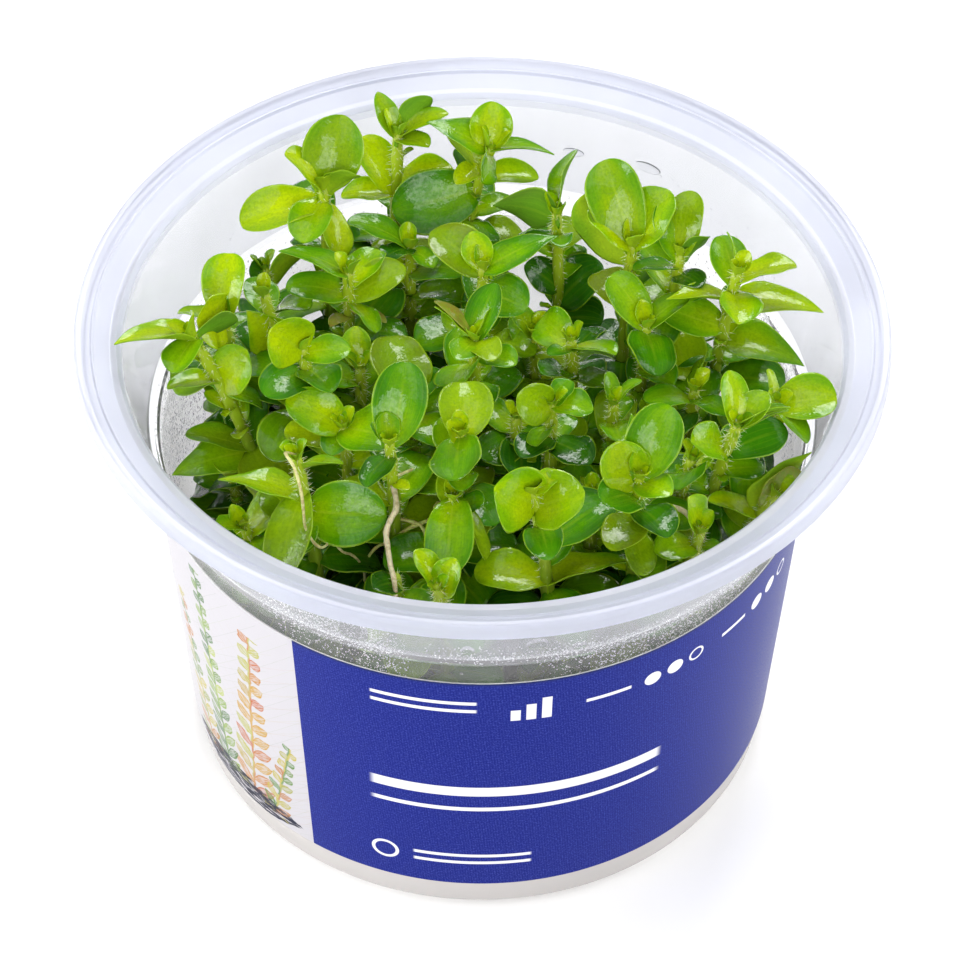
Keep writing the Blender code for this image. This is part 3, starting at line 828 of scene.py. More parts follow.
# tip (x, y, z), foot aside (x, y), bearing of the first full pair, leaf length, pairs of leaves
shootRows = (
    (7, -35, 82, 4, 4, 120, 11.0, 4),
    (22, -31, 81, 0, 5, 110, 10.0, 4),
    (-6, -45, 73, 2, 8, 20, 7.5, 3),
    (-26, -27, 80, 3, 3, 10, 11.5, 4),
    (36, -22, 82, -4, 3, 170, 9.5, 4),
    (42, -14, 78, -6, 3, 10, 9.5, 3),
    (-42, -4, 81, 12, -3, 175, 12.0, 4),
    (-13, -23, 79, 1, 3, 100, 11.5, 4),
    (-3, -21, 79, 1, 3, 92, 10.0, 4),
    (10, -14, 78, 0, 2, 0, 9.0, 4),
    (37, 6, 85, -4, 0, 60, 11.5, 4),
    (22, 13, 84, -1, -1, 112, 11.5, 4),
    (29, 12, 83, -3, -3, 45, 10.0, 3),
    (1, 33, 85, -8, -4, 5, 10.5, 4),
    (-13, 36, 85, -1, -5, 150, 11.0, 4),
    (-24, 26, 83, 1, -5, 100, 11.5, 4),
    (11, 24, 80, 1, -3, 150, 9.5, 4),
    (-20, 13, 78, 0, -2, 150, 11.0, 4),
    (0, 12, 80, 0, -2, 110, 10.5, 4),
    (-1, -3, 80, 0, 0, 35, 9.5, 4),
    (24, 3, 77, -1, 0, 120, 11.0, 4),
    (13, 1, 76, 1, 0, 20, 10.0, 4),
    (-26, -5, 80, 2, 0, 150, 10.0, 4),
    (-32, 6, 80, 3, -1, 80, 10.0, 4),
    (-38, 3, 78, 4, 2, 70, 9.5, 3),
    (-20, -13, 72, 1, 1, 30, 10.0, 4),
    (19, -10, 74, 0, 1, 45, 8.0, 3),
    (-37, -8, 56, 3, 1, 170, 9.0, 3),
    (30, -21, 74, -1, 2, 160, 9.5, 3),
    (31, -32, 71, -3, 3, 60, 9.5, 3),
    (5, -9, 70, 0, 1, 160, 9.5, 3),
    (-10, -7, 72, 0, 1, 60, 9.5, 3),
    (-4, -26, 71, 0, 3, 100, 10.0, 3),
    (42, -24, 70, -5, 3, 40, 9.5, 3),
    (-33, 20, 72, 3, -3, 20, 9.0, 3),
    (-34, -27, 66, 4, 4, 130, 9.5, 3),
    (16, -22, 68, 0, 3, 100, 9.5, 3),
    (-12, -37, 66, 1, 4, 20, 9.0, 3),
    (8, 7, 71, 0, 0, 60, 10.0, 3),
    (-11, 23, 74, 0, -2, 100, 10.0, 3),
    (31, -5, 72, -1, 0, 30, 10.0, 3),
    (-18, 1, 70, 0, 0, 10, 9.5, 3),
)

# Leaves seen in the photograph, by shoot. Each row has the pixel where the leaf leaves its stem,
# the pixel of its tip, its length in millimetres, whether it reaches towards the viewer (1) or
# away (-1), how far its upper face is turned to the viewer (1 full face, 0 edge on, -1 from
# below), its width as a share of its length, and its age from 0, new and yellow, to 1, deep green;
# above 1 it withers. Some leaves that stand in shade have a higher age, so their darker green is
# in part painted shade. A last "acute" is a leaf with a sharp tip.
seenLeaves = {
    1: ((545, 500, 496, 484, 9.5, 1, 1.0, 1.02, 0.15), (538, 505, 584, 491, 9.0, 1, 0.95, 0.95, 0.3),
        (546, 486, 560, 470, 4.5, -1, 0.8, 0.8, 0.1), (546, 580, 474, 572, 10.5, 1, 0.85, 0.66, 0.25),
        (552, 582, 648, 556, 13.0, 1, 0.45, 0.62, 0.14, "acute")),
    2: ((640, 484, 617, 440, 8.5, 1, 1.0, 0.82, 0.03), (641, 480, 671, 492, 6.5, 1, 0.8, 0.8, 0.32),
        (640, 474, 668, 398, 11.0, -1, 1.0, 0.72, 0.5),
        (637, 498, 630, 412, 12.5, -1, 0.85, 0.62, 0.42, "acute"),
        (638, 495, 603, 500, 8.5, 1, 0.8, 0.8, 0.55), (634, 512, 614, 548, 9.5, 1, 0.9, 0.7, 0.75),
        (638, 506, 668, 534, 9.0, 1, 0.8, 0.7, 0.85)),
    3: ((438, 598, 416, 552, 7.5, 1, 0.8, 0.55, 0.06), (440, 598, 457, 560, 6.5, 1, 0.9, 0.75, 0.05)),
    4: ((301, 505, 217, 484, 13.0, 1, 0.5, 0.6, 0.1, "acute"),
        (306, 514, 386, 516, 11.5, 1, 1.0, 0.84, 0.45), (296, 497, 284, 578, 12.5, 1, 0.85, 0.6, 0.55),
        (300, 470, 342, 466, 6.5, 1, 0.2, 0.6, 0.1), (297, 468, 284, 450, 4.5, 1, 0.5, 0.6, 0.0)),
    5: ((738, 412, 726, 362, 8.0, 1, 0.9, 0.58, 0.22),
        (740, 411, 793, 402, 8.0, 1, 0.2, 0.55, 0.1, "acute"),
        (741, 410, 772, 384, 6.5, -1, 0.9, 0.7, 0.35), (736, 436, 787, 406, 9.0, 1, 0.4, 0.55, 0.22),
        (732, 450, 691, 437, 8.5, 1, 0.8, 0.72, 0.28), (730, 452, 790, 424, 9.5, -1, 0.9, 0.7, 0.8)),
    6: ((777, 400, 837, 393, 9.0, 1, 0.9, 0.8, 0.12), (777, 396, 765, 361, 5.5, 1, 0.7, 0.36, 0.25),
        (774, 404, 806, 438, 8.0, 1, 0.6, 0.5, 0.5)),
    7: ((189, 336, 113, 349, 12.0, 1, 0.35, 0.66, 0.1, "acute"),
        (191, 343, 172, 377, 7.5, 1, 0.8, 0.78, 0.42), (191, 338, 235, 324, 7.5, -1, -0.5, 0.62, 0.75),
        (215, 386, 167, 393, 8.0, 1, 0.5, 0.62, 0.15), (219, 394, 243, 352, 8.5, 1, 0.9, 0.85, 0.12),
        (222, 398, 260, 408, 6.5, -1, 0.6, 0.7, 0.4), (247, 454, 184, 438, 10.0, -1, 0.7, 0.5, 0.1),
        (249, 456, 172, 480, 12.5, 1, 0.8, 0.66, 0.42, "acute")),
    8: ((388, 428, 407, 352, 12.0, -1, 1.0, 0.66, 0.5), (388, 446, 352, 400, 4.0, 1, 0.8, 0.8, 0.4),
        (389, 458, 366, 488, 8.0, 1, 0.8, 0.6, 0.8)),
    9: ((460, 440, 463, 383, 9.5, -1, 1.0, 0.84, 0.4), (460, 436, 457, 480, 8.5, 1, 0.9, 0.92, 0.62),
        (459, 440, 447, 421, 4.5, 1, 0.9, 0.8, 0.16)),
    10: ((553, 405, 517, 393, 6.8, 1, 1.0, 0.92, 0.42), (556, 404, 592, 408, 6.0, 1, 0.8, 0.85, 0.38),
         (556, 400, 570, 380, 4.5, -1, 0.8, 0.9, 0.5), (553, 425, 536, 445, 6.0, 1, 0.6, 0.7, 0.6),
         (552, 440, 590, 462, 9.0, 1, 0.8, 0.7, 0.95), (550, 436, 520, 456, 8.0, 1, 0.8, 0.7, 0.9)),
    11: ((731, 282, 717, 233, 8.0, -1, 0.9, 0.78, 0.3), (733, 280, 794, 262, 9.5, 1, 0.5, 0.62, 0.14),
         (727, 300, 820, 308, 14.0, 1, 0.55, 0.62, 0.22, "acute"),
         (728, 296, 665, 297, 10.0, 1, 0.4, 0.6, 0.2, "acute"),
         (722, 340, 807, 361, 13.0, 1, 0.75, 0.62, 0.28, "acute"),
         (722, 325, 660, 306, 9.5, 1, 0.95, 0.68, 0.25), (733, 270, 722, 225, 6.5, -1, 0.1, 0.2, 0.3)),
    12: ((626, 258, 578, 196, 12.0, 1, -0.95, 0.78, 0.08), (628, 236, 598, 149, 13.5, -1, 1.0, 0.62, 0.2),
         (629, 234, 668, 184, 10.0, -1, 0.9, 0.8, 0.3), (632, 246, 572, 190, 9.0, -1, 0.8, 0.7, 0.12),
         (624, 305, 596, 270, 8.5, -1, 0.9, 0.75, 1.0), (621, 352, 594, 322, 8.5, -1, 0.9, 0.75, 1.0)),
    13: ((672, 256, 661, 196, 9.0, 1, 0.95, 0.66, 0.5), (676, 246, 690, 180, 10.0, -1, 0.95, 0.56, 0.42),
         (674, 262, 704, 234, 7.0, 1, -0.5, 0.66, 0.66), (672, 264, 631, 268, 7.0, 1, 0.4, 0.7, 0.5),
         (670, 272, 698, 284, 6.5, 1, 0.7, 0.8, 1.0)),
    14: ((489, 146, 488, 102, 7.5, -1, 1.0, 0.88, 0.1),
         (484, 147, 419, 122, 10.5, 1, 0.75, 0.6, 0.4, "acute"),
         (488, 148, 554, 153, 10.0, 1, 0.35, 0.5, 0.42, "acute"),
         (484, 150, 478, 182, 6.5, 1, 0.5, 0.85, 0.32), (478, 168, 452, 184, 6.0, 1, 0.8, 0.7, 0.0),
         (472, 190, 381, 216, 13.5, 1, 1.0, 0.74, 0.62), (480, 180, 538, 176, 9.0, -1, 0.7, 0.6, 0.3)),
    15: ((392, 134, 370, 89, 7.5, -1, 0.95, 0.48, 0.12), (395, 138, 426, 97, 8.0, 1, -0.8, 0.62, 0.5),
         (396, 134, 446, 112, 8.5, -1, 0.6, 0.5, 0.02), (394, 140, 424, 147, 6.0, 1, 0.6, 0.7, 0.0),
         (384, 194, 354, 136, 10.0, -1, 0.9, 0.66, 0.0), (386, 196, 336, 198, 8.5, -1, 0.7, 0.6, 0.02),
         (392, 186, 451, 168, 9.0, -1, 0.7, 0.66, 0.0)),
    16: ((320, 188, 338, 114, 11.8, -1, 1.0, 0.78, 0.05), (317, 194, 281, 156, 9.0, 1, 0.55, 0.66, 0.14),
         (318, 196, 351, 177, 7.0, 1, -0.55, 0.75, 0.38), (319, 203, 299, 245, 8.8, 1, 0.95, 0.74, 0.28),
         (319, 207, 236, 228, 13.0, 1, 0.75, 0.62, 0.16), (321, 206, 338, 266, 9.5, 1, 0.7, 0.62, 0.05)),
    17: ((553, 226, 573, 148, 12.0, 1, 0.25, 0.6, 0.34),
         (553, 216, 486, 203, 10.0, 1, -0.8, 0.74, 0.8, "acute"),
         (554, 232, 500, 262, 9.0, 1, 0.5, 0.6, 0.75),
         (557, 300, 598, 262, 10.0, 1, 0.9, 0.85, 1.0),
         (557, 318, 600, 318, 9.0, 1, 0.9, 0.8, 1.0), (556, 285, 522, 264, 8.0, 1, 0.9, 0.7, 1.0)),
    18: ((346, 268, 276, 254, 11.0, 1, 0.5, 0.66, 0.44, "acute"),
         (346, 298, 284, 289, 9.6, 1, 0.78, 0.62, 0.35), (347, 300, 402, 268, 9.8, -1, 0.9, 0.6, 0.48),
         (346, 290, 376, 252, 8.5, -1, 0.8, 0.7, 0.3), (348, 304, 374, 334, 7.0, 1, 0.6, 0.6, 0.35),
         (350, 318, 328, 328, 6.0, 1, 0.7, 0.45, 1.8), (354, 312, 386, 324, 6.0, 1, 0.5, 0.5, 1.7)),
    19: ((480, 254, 466, 222, 6.0, 1, 1.0, 0.8, 0.2),
         (481, 262, 560, 233, 12.5, 1, 0.75, 0.52, 0.6, "acute"),
         (480, 274, 428, 232, 10.5, -1, 0.95, 0.7, 0.75), (480, 292, 524, 308, 8.5, 1, 0.95, 0.84, 0.4)),
    20: ((470, 336, 430, 305, 7.8, 1, 0.55, 0.5, 0.08, "acute"),
         (474, 334, 501, 297, 7.0, 1, 0.2, 0.5, 0.08), (472, 328, 455, 360, 7.5, 1, 0.9, 0.62, 0.26),
         (474, 328, 492, 360, 7.5, 1, 0.9, 0.62, 0.4), (473, 362, 458, 386, 7.0, 1, 0.45, 1.3, 0.35),
         (470, 316, 428, 298, 8.5, 1, 0.4, 0.4, 1.6), (472, 300, 500, 268, 9.0, -1, 0.8, 0.7, 0.6)),
    21: ((645, 312, 606, 268, 9.5, -1, 0.95, 0.62, 0.38), (644, 330, 656, 373, 8.5, 1, 0.85, 0.92, 0.7),
         (645, 316, 690, 290, 8.0, -1, 0.7, 0.6, 0.55)),
    22: ((569, 346, 541, 316, 8.0, -1, 1.0, 0.8, 0.36), (570, 348, 613, 353, 8.0, 1, 0.4, 0.62, 0.3),
         (568, 350, 548, 354, 5.0, 1, 0.4, 0.8, 0.6), (574, 352, 600, 326, 7.0, -1, 0.6, 0.7, 0.95),
         (572, 372, 540, 372, 8.0, 1, 0.5, 0.7, 0.75), (572, 374, 606, 384, 7.5, 1, 0.6, 0.7, 0.85)),
    23: ((302, 352, 269, 330, 8.5, 1, 1.0, 0.96, 0.0), (303, 356, 348, 352, 7.2, 1, 0.85, 0.68, 0.3),
         (304, 374, 264, 398, 9.0, 1, 0.85, 0.8, 0.62), (304, 372, 330, 394, 7.5, 1, 0.8, 0.9, 0.45)),
    24: ((264, 318, 250, 281, 7.5, -1, 0.95, 0.7, 0.32),
         (270, 348, 247, 311, 8.5, 1, 1.0, 0.86, 0.08, "acute")),
    25: ((221, 318, 226, 258, 10.0, -1, 0.95, 0.66, 0.02), (222, 322, 194, 322, 8.0, 1, 1.0, 1.05, 0.0),
         (221, 324, 176, 317, 7.0, -1, 0.5, 0.5, 0.3)),
    26: ((341, 428, 286, 402, 9.5, 1, 0.95, 0.74, 0.25), (342, 428, 397, 442, 9.5, 1, 0.85, 0.92, 0.4),
         (342, 434, 330, 457, 5.0, 1, 0.9, 0.9, 0.45), (342, 426, 352, 414, 3.0, 1, 0.8, 0.8, 0.3),
         (341, 446, 283, 434, 9.0, 1, 0.9, 0.52, 0.16)),
    27: ((613, 401, 606, 370, 5.0, 1, 0.9, 0.5, 0.6), (614, 401, 641, 377, 5.5, 1, 0.5, 0.5, 0.4)),
    29: ((690, 468, 681, 486, 7.0, 1, 0.8, 1.2, 0.52),),
    31: ((514, 440, 481, 458, 8.0, 1, 0.9, 0.85, 0.78), (515, 436, 546, 444, 7.0, 1, 0.8, 0.8, 0.65),
         (512, 440, 520, 480, 9.0, 1, 0.9, 0.75, 0.95)),
    32: ((413, 404, 432, 368, 7.0, -1, 0.9, 0.7, 0.65), (412, 400, 386, 338, 11.5, -1, 0.9, 0.8, 0.72)),
    33: ((458, 492, 449, 578, 13.0, 1, 0.95, 0.58, 0.4), (459, 494, 488, 560, 10.0, 1, 0.5, 0.4, 0.45)),
    34: ((757, 512, 811, 450, 13.5, 1, -0.5, 0.6, 0.08, "acute"),
         (764, 506, 792, 462, 8.5, 1, 0.8, 0.8, 1.5), (760, 512, 708, 497, 8.5, 1, 0.6, 0.55, 0.1)),
    35: ((268, 288, 246, 272, 6.0, 1, 0.7, 0.85, 0.85), (270, 292, 304, 248, 9.0, -1, -0.6, 0.5, 0.1)),
    37: ((592, 496, 665, 504, 11.5, 1, 0.8, 0.66, 0.6), (592, 494, 586, 476, 4.0, -1, 0.8, 0.9, 0.5)),
    38: ((398, 585, 376, 590, 6.0, 1, 0.8, 0.8, 1.0),),
    40: ((407, 246, 341, 222, 10.5, 1, 0.6, 0.52, 0.44), (407, 248, 379, 262, 6.5, 1, 0.6, 0.8, 1.0),
         (407, 250, 430, 268, 6.0, 1, 0.7, 0.7, 0.45)),
    41: ((691, 398, 644, 398, 8.5, 1, 0.6, 0.6, 0.4), (691, 396, 726, 412, 8.0, 1, 0.6, 0.6, 0.6),
         (690, 408, 668, 440, 8.5, 1, 0.8, 0.75, 0.8), (692, 392, 706, 352, 8.5, -1, 0.35, 0.5, 0.5)),
}

leaf = {
    "rings": 13,
    "acrossPoints": 9,
    "width": 0.82,
    "widest": (0.46, 0.60),        # where along the leaf it is widest
    "base": 0.33,
    "heel": 1.9 * mm,              # how far the base runs down along the stem
    "acute": (0.34, 0.75, 1.28, 1.0),
    "swell": (0.62, 0.95),         # a small value widens quickly above the base
    "blunt": (1.8, 2.7),           # a large value gives a rounder end
    "point": (0.5, 0.74),          # 0.5 is a round end, more is pointed
    "fold": (1.25, 2.1),           # 1 is folded along the midrib, 2 is an even bow
    "thickness": 0.46 * mm,
    "groove": 0.07 * mm,
    "keel": 0.20 * mm,
    "cups": (0.42, 0.34, 0.24, 0.14, 0.06),       # how far the edges rise, by pair from the tip
    "droops": (-6.0, 10.0, 20.0, 28.0, 30.0),     # degrees that the end bends down, by pair
    "ages": (0.10, 0.30, 0.55, 0.78, 0.95),       # 0 is new and lime, 1 old and deep green
    "sunk": (0.55, 0.35),          # how far heel and base start inside the stem, in millimetres
    "fullThickness": 7 * mm,       # a shorter leaf is thinner
    "fullHeel": 9 * mm,            # and one shorter than this has a shorter heel
    "crowding": 1.65,              # above 1 the sections stand closer towards the tip
    "wave": 0.10,
    "skew": 0.09,
    "sway": 16.0,
    "twist": 11.0,
    "chord": 0.975,                               # straight distance to the tip over the length
    # the leaves placed by the photograph; of two numbers, when new and how much changes till old
    "seenBend": 20.0,
    "seenDroop": (10.0, 16.0),
    "seenCup": (0.36, -0.24),
    "seenRings": 14,
}


class Stalk:
    def __init__(self, tip, foot, bearing, pairs):
        self.tip = tip
        self.foot = foot
        across, up = shoot["bend"]
        self.bend = Vector((foot.x + across * (tip.x - foot.x), foot.y + across * (tip.y - foot.y),
                            foot.z + up * (tip.z - foot.z)))
        self.bearing = math.radians(bearing)
        points = [self.at(index / shoot["samples"]) for index in range(shoot["samples"] + 1)]
        self.length = sum((after - before).length for before, after in zip(points, points[1:]))
        self.nodes = list(shoot["nodeDepths"][:pairs])

    def at(self, share):
        left = 1.0 - share
        return left * left * self.foot + 2 * left * share * self.bend + share * share * self.tip

    def frame(self, depth):
        # place, direction and the two square directions at a depth below the tip
        share = 1.0 - depth / self.length
        along = (self.at(share + 0.02) - self.at(share - 0.02)).normalized()
        flat = Vector((math.cos(self.bearing), math.sin(self.bearing), 0.0))
        first = (flat - along * flat.dot(along)).normalized()
        return self.at(share), along, first, along.cross(first)

    def radius(self, depth):
        share = depth / self.length
        return shoot["radiusTip"] + share * (shoot["radiusFoot"] - shoot["radiusTip"])

    def depthAtPixel(self, x, y):
        # the depth below the tip where the stem looks nearest to a pixel
        wanted = Vector((x, y))
        depths = [self.length * index / 120 for index in range(121)]
        return min(depths, key=lambda depth: (toPixel(self.frame(depth)[0]) - wanted).length)


def placeFeet():
    feet = [Vector(((row[0] + row[3]) * mm, (row[1] + row[4]) * mm, 0.0)) for row in shootRows]
    for pushRound in range(shoot["pushRounds"]):
        for number, foot in enumerate(feet):
            for other in feet[number + 1:]:
                between = other - foot
                lacking = shoot["footSpacing"] - between.length
                if lacking > 0:
                    push = between.normalized() * (lacking / 2)
                    foot -= push
                    other += push
        for foot in feet:
            if foot.length > shoot["footReach"]:
                foot *= shoot["footReach"] / foot.length
    for foot in feet:
        foot.z = gel["top"] + gel["clearance"]
    return feet


def leafBase(stalk, depth, side, turn):
    # where a leaf starts, and its directions: outward, up the stem and across
    place, along, first, second = stalk.frame(depth)
    square = (first, second, -first, -second)[side]
    turnBy = math.radians(turn)
    outward = square * math.cos(turnBy) + along.cross(square) * math.sin(turnBy)
    return place + outward * stalk.radius(depth), outward, along, along.cross(outward)


def leafTip(start, outward, along, length, pitch):
    climb = math.radians(pitch)
    bend = math.radians(shoot["leafBend"])
    out = (math.sin(climb) - math.sin(climb - bend)) / bend
    up = (math.cos(climb - bend) - math.cos(climb)) / bend
    return start + length * (outward * out + along * up)


def seenBase(stalk, row, bend):
    # a leaf's start and directions, turned so that its tip falls on its pixel
    fromX, fromY, tipX, tipY, length, toward, facing = row[:7]
    depth = max(stalk.depthAtPixel(fromX, fromY), shoot["nodeHalf"])
    place, along, first, second = stalk.frame(depth)
    eye, ray = pixelRay(tipX, tipY)
    chord = length * mm * leaf["chord"]
    middle = (place - eye).dot(ray)
    miss = (eye + ray * middle - place).length
    reach = math.sqrt(max(0.0, chord * chord - miss * miss))
    heading = (eye + ray * (middle - toward * reach) - place).normalized()
    outward = (heading - along * heading.dot(along)).normalized()
    rise = math.atan2(heading.dot(along), heading.dot(outward))
    above = along * math.cos(rise) - outward * math.sin(rise)
    aside = heading.cross(above)
    natural = math.atan2(aside.dot(-ray), above.dot(-ray))
    turns = []
    for sign in (-1, 1):
        turn = natural + sign * math.acos(max(-1.0, min(1.0, facing)))
        turns.append(math.atan2(math.sin(turn), math.cos(turn)))
    roll = Matrix.Rotation(min(turns, key=abs), 3, heading)
    start = place + outward * stalk.radius(depth) * 0.5
    base = (start, roll @ outward, roll @ along, roll @ along.cross(outward))
    return base, math.degrees(rise) + bend / 2, depth


def solidPoints(name):
    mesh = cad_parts[name].data
    tree = KDTree(len(mesh.vertices))
    for vertex in mesh.vertices:
        tree.insert(vertex.co, vertex.index)
    tree.balance()
    return tree


def readLeaves(stalks):
    # find which pose each leaf of the solids took, by the point where its tip is
    chance = random.Random(shoot["seed"])
    trees = [solidPoints("shoot_%02d" % (number + 1)) for number in range(len(shootRows))]
    poses = {}
    for level in range(len(shoot["nodeDepths"])):
        for number, row in enumerate(shootRows):
            stalk = stalks[number]
            if level >= len(stalk.nodes):
                continue
            full = row[6] * mm * shoot["nodeSizes"][level]
            for half in range(2):
                side = (level + 1) % 2 + 2 * half
                spread = chance.uniform(-shoot["pitchSpread"], shoot["pitchSpread"])
                pitch = shoot["nodePitches"][level] + spread
                length = full * chance.uniform(*shoot["lengthSpread"])
                pose = matchPose(trees[number], stalk, level, side, length, pitch)
                if pose:
                    poses[(number, level, side)] = pose
    return poses


def matchPose(tree, stalk, level, side, length, pitch):
    depth = max(stalk.nodes[level], shoot["nodeHalf"])
    for scale in shoot["scales"]:
        for turn, lift in shoot["turns"]:
            start, outward, along, across = leafBase(stalk, depth, side, turn)
            tip = leafTip(start, outward, along, length * scale, pitch + lift)
            if tree.find(tip)[2] < 0.02 * mm:
                return length * scale, pitch + lift, turn
    return None


class Growth:
    # the points and faces of one shoot, with what its materials read
    def __init__(self):
        self.points = []
        self.faces = []
        self.kinds = []        # material of each face: 0 leaf, 1 stem
        self.pairs = []
        self.marks = {name: [] for name in ("age", "tone", "under", "hair", "wither")}

    def addPoint(self, place, pair, age, tone, under, hair=0.0, wither=0.0):
        self.points.append(place)
        self.pairs.append(pair)
        for values, value in zip(self.marks.values(), (age, tone, under, hair, wither)):
            values.append(value)
        return len(self.points) - 1

    def addFace(self, corners, kind):
        self.faces.append(tuple(corners))
        self.kinds.append(kind)

    def joinLoops(self, loops, kind):
        for near, far in zip(loops, loops[1:]):
            for index in range(len(near)):
                after = (index + 1) % len(near)
                self.addFace((near[index], near[after], far[after], far[index]), kind)

    def addTube(self, loops, kind):
        self.joinLoops(loops, kind)
        self.addFace(reversed(loops[0]), kind)
        self.addFace(loops[-1], kind)


def leafOutline(share, widest, swell, blunt, point):
    if share < widest:
        return leaf["base"] + (1 - leaf["base"]) * math.sin(math.pi / 2 * share / widest) ** swell
    beyond = (share - widest) / (1 - widest)
    return max(0.0, 1 - beyond ** blunt) ** point


def levelLook(level, length, pitch, chance):
    # the form and age that a leaf has by its pair, counted from the tip
    return {
        "length": length, "pitch": pitch,
        "cup": leaf["cups"][level] + chance.uniform(-0.06, 0.06),
        "bend": shoot["leafBend"], "droop": leaf["droops"][level] + chance.uniform(-8, 10),
        "twist": chance.uniform(-leaf["twist"], leaf["twist"]),
        "age": min(1.0, leaf["ages"][level] + chance.uniform(-0.12, 0.12)),
        "width": leaf["width"] * chance.uniform(0.88, 1.04),
        "rings": leaf["rings"] if level < 4 else 8,
        "acrossPoints": leaf["acrossPoints"] if level < 4 else 7,
    }


def addLeaf(growth, base, look, chance):
    # one closed, cupped leaf: lens-shaped sections along an arching midrib
    start, outward, along, across = base
    length, rings, acrossPoints = look["length"], look["rings"], look["acrossPoints"]
    form = [chance.uniform(*leaf[key]) for key in ("widest", "swell", "blunt", "point")]
    if look.get("acute"):
        form = leaf["acute"]
    fold = chance.uniform(*leaf["fold"])
    phases = (chance.uniform(0, math.tau), chance.uniform(0, math.tau))
    waves = chance.uniform(0.8, 1.9)
    skew = chance.uniform(-leaf["skew"], leaf["skew"])
    sway = math.radians(chance.uniform(-leaf["sway"], leaf["sway"]))
    # an age above 1 is a leaf that has begun to wither
    wither = max(0.0, look["age"] - 1.0)
    age = 0.4 if wither > 0.0 else max(0.0, look["age"])
    tone = chance.random()
    thickness = leaf["thickness"] * min(1.0, length / leaf["fullThickness"])
    climb = math.radians(look["pitch"])
    bend, droop, twist = (math.radians(look[key]) for key in ("bend", "droop", "twist"))
    shares = [1 - (1 - ring / rings) ** leaf["crowding"] for ring in range(rings)]
    heel = leaf["heel"] * min(1.0, length / leaf["fullHeel"])
    sections = [(start - along * heel - outward * leaf["sunk"][0] * mm, across, -outward,
                 length * look["width"] / 2 * leaf["base"] * 0.5, thickness * 0.8, 0.0)]
    place = start - outward * leaf["sunk"][1] * mm
    before = 0.0
    loops = []
    ahead = outward
    for share in shares:
        steps = 4
        for step in range(steps):
            middle = before + (share - before) * (step + 0.5) / steps
            angle = climb - bend * middle - droop * middle * middle
            swing = sway * (middle - 0.4)
            ahead = outward * math.cos(angle) + along * math.sin(angle)
            ahead = ahead * math.cos(swing) + across * math.sin(swing)
            place = place + ahead * (length * (share - before) / steps)
        before = share
        angle = climb - bend * share - droop * share * share
        swing = sway * (share - 0.4)
        above = along * math.cos(angle) - outward * math.sin(angle)
        forward = outward * math.cos(angle) + along * math.sin(angle)
        sideways = across * math.cos(swing) - forward * math.sin(swing)
        turnNow = Matrix.Rotation(twist * (share - 0.3), 3, forward)
        sideways = turnNow @ sideways
        above = turnNow @ above
        half = length * look["width"] / 2 * leafOutline(share, *form)
        sections.append((place, sideways, above, half, thickness * (1 - 0.45 * share), share))
    order = list(range(acrossPoints)) + list(range(acrossPoints - 2, 0, -1))
    for middle, sideways, above, half, thick, share in sections:
        loop = []
        for count, index in enumerate(order):
            t = -math.cos(math.pi * index / (acrossPoints - 1))
            lower = count >= acrossPoints
            wave = leaf["wave"] * math.sin(math.tau * waves * share + phases[t > 0])
            rise = half * abs(t) ** fold * (look["cup"] + wave)
            plump = thick * math.sqrt(max(0.0, 1 - t * t)) / 2
            if lower:
                lift = rise - plump - leaf["keel"] * math.exp(-(t / 0.2) ** 2) * (1 - share)
            else:
                lift = rise + plump - leaf["groove"] * math.exp(-(t / 0.15) ** 2) * (1 - share)
            point = middle + sideways * (half * t * (1 + skew if t > 0 else 1 - skew)) + above * lift
            loop.append(growth.addPoint(point, ((t + 1) / 2, share), age, tone, float(lower), 0.0, wither))
        loops.append(loop)
    end = place + ahead * (length * (1 - before))
    tip = growth.addPoint(end, (0.5, 1.0), age, tone, 0.5, 0.0, wither)
    growth.joinLoops(loops, 0)
    last = loops[-1]
    for index in range(len(last)):
        growth.addFace((last[index], last[(index + 1) % len(last)], tip), 0)
    growth.addFace(reversed(loops[0]), 0)


def addStem(growth, stalk, chance):
    sides = shoot["stemSides"]
    deepest = stalk.length
    count = max(6, int(deepest / shoot["stemStep"]))
    tone = chance.random()
    loops = []
    for ring in range(count + 1):
        depth = deepest * ring / count
        place, along, first, second = stalk.frame(depth)
        swelling = sum(math.exp(-((depth - node) / shoot["nodeSwell"]) ** 2) for node in stalk.nodes)
        reach = stalk.radius(depth) * (shoot["girth"][0] + shoot["girth"][1] * swelling)
        if ring == 0:
            reach *= shoot["tipShare"]
        if ring == count:
            place = place - along * shoot["sunk"]
        hair = max(0.0, 1.0 - depth / shoot["hairReach"])
        down = depth / deepest
        loop = []
        for index in range(sides):
            angle = math.tau * index / sides
            point = place + (first * math.cos(angle) + second * math.sin(angle)) * reach
            loop.append(growth.addPoint(point, (index / sides, down), down, tone, 0.0, hair))
        loops.append(loop)
    growth.addTube(loops, 1)


def insideCup(point):
    limit = outerWall(min(point.z, cup["bodyTopZ"])) - cup["wall"] - 1.2 * mm
    return math.hypot(point.x, point.y) < limit and point.z > gel["top"] + 1.5 * mm


def addBud(growth, stalk, fullLength, chance):
    # two unopened pairs between the top pair of leaves
    for side, share, pitch in ((0, 0.34, 74), (2, 0.32, 76), (1, 0.18, 82), (3, 0.17, 82)):
        base = leafBase(stalk, 0.5 * mm, side, chance.uniform(-8, 8))
        look = levelLook(0, fullLength * share * chance.uniform(0.85, 1.15), pitch, chance)
        look.update(rings=8, acrossPoints=7)
        addLeaf(growth, base, look, chance)


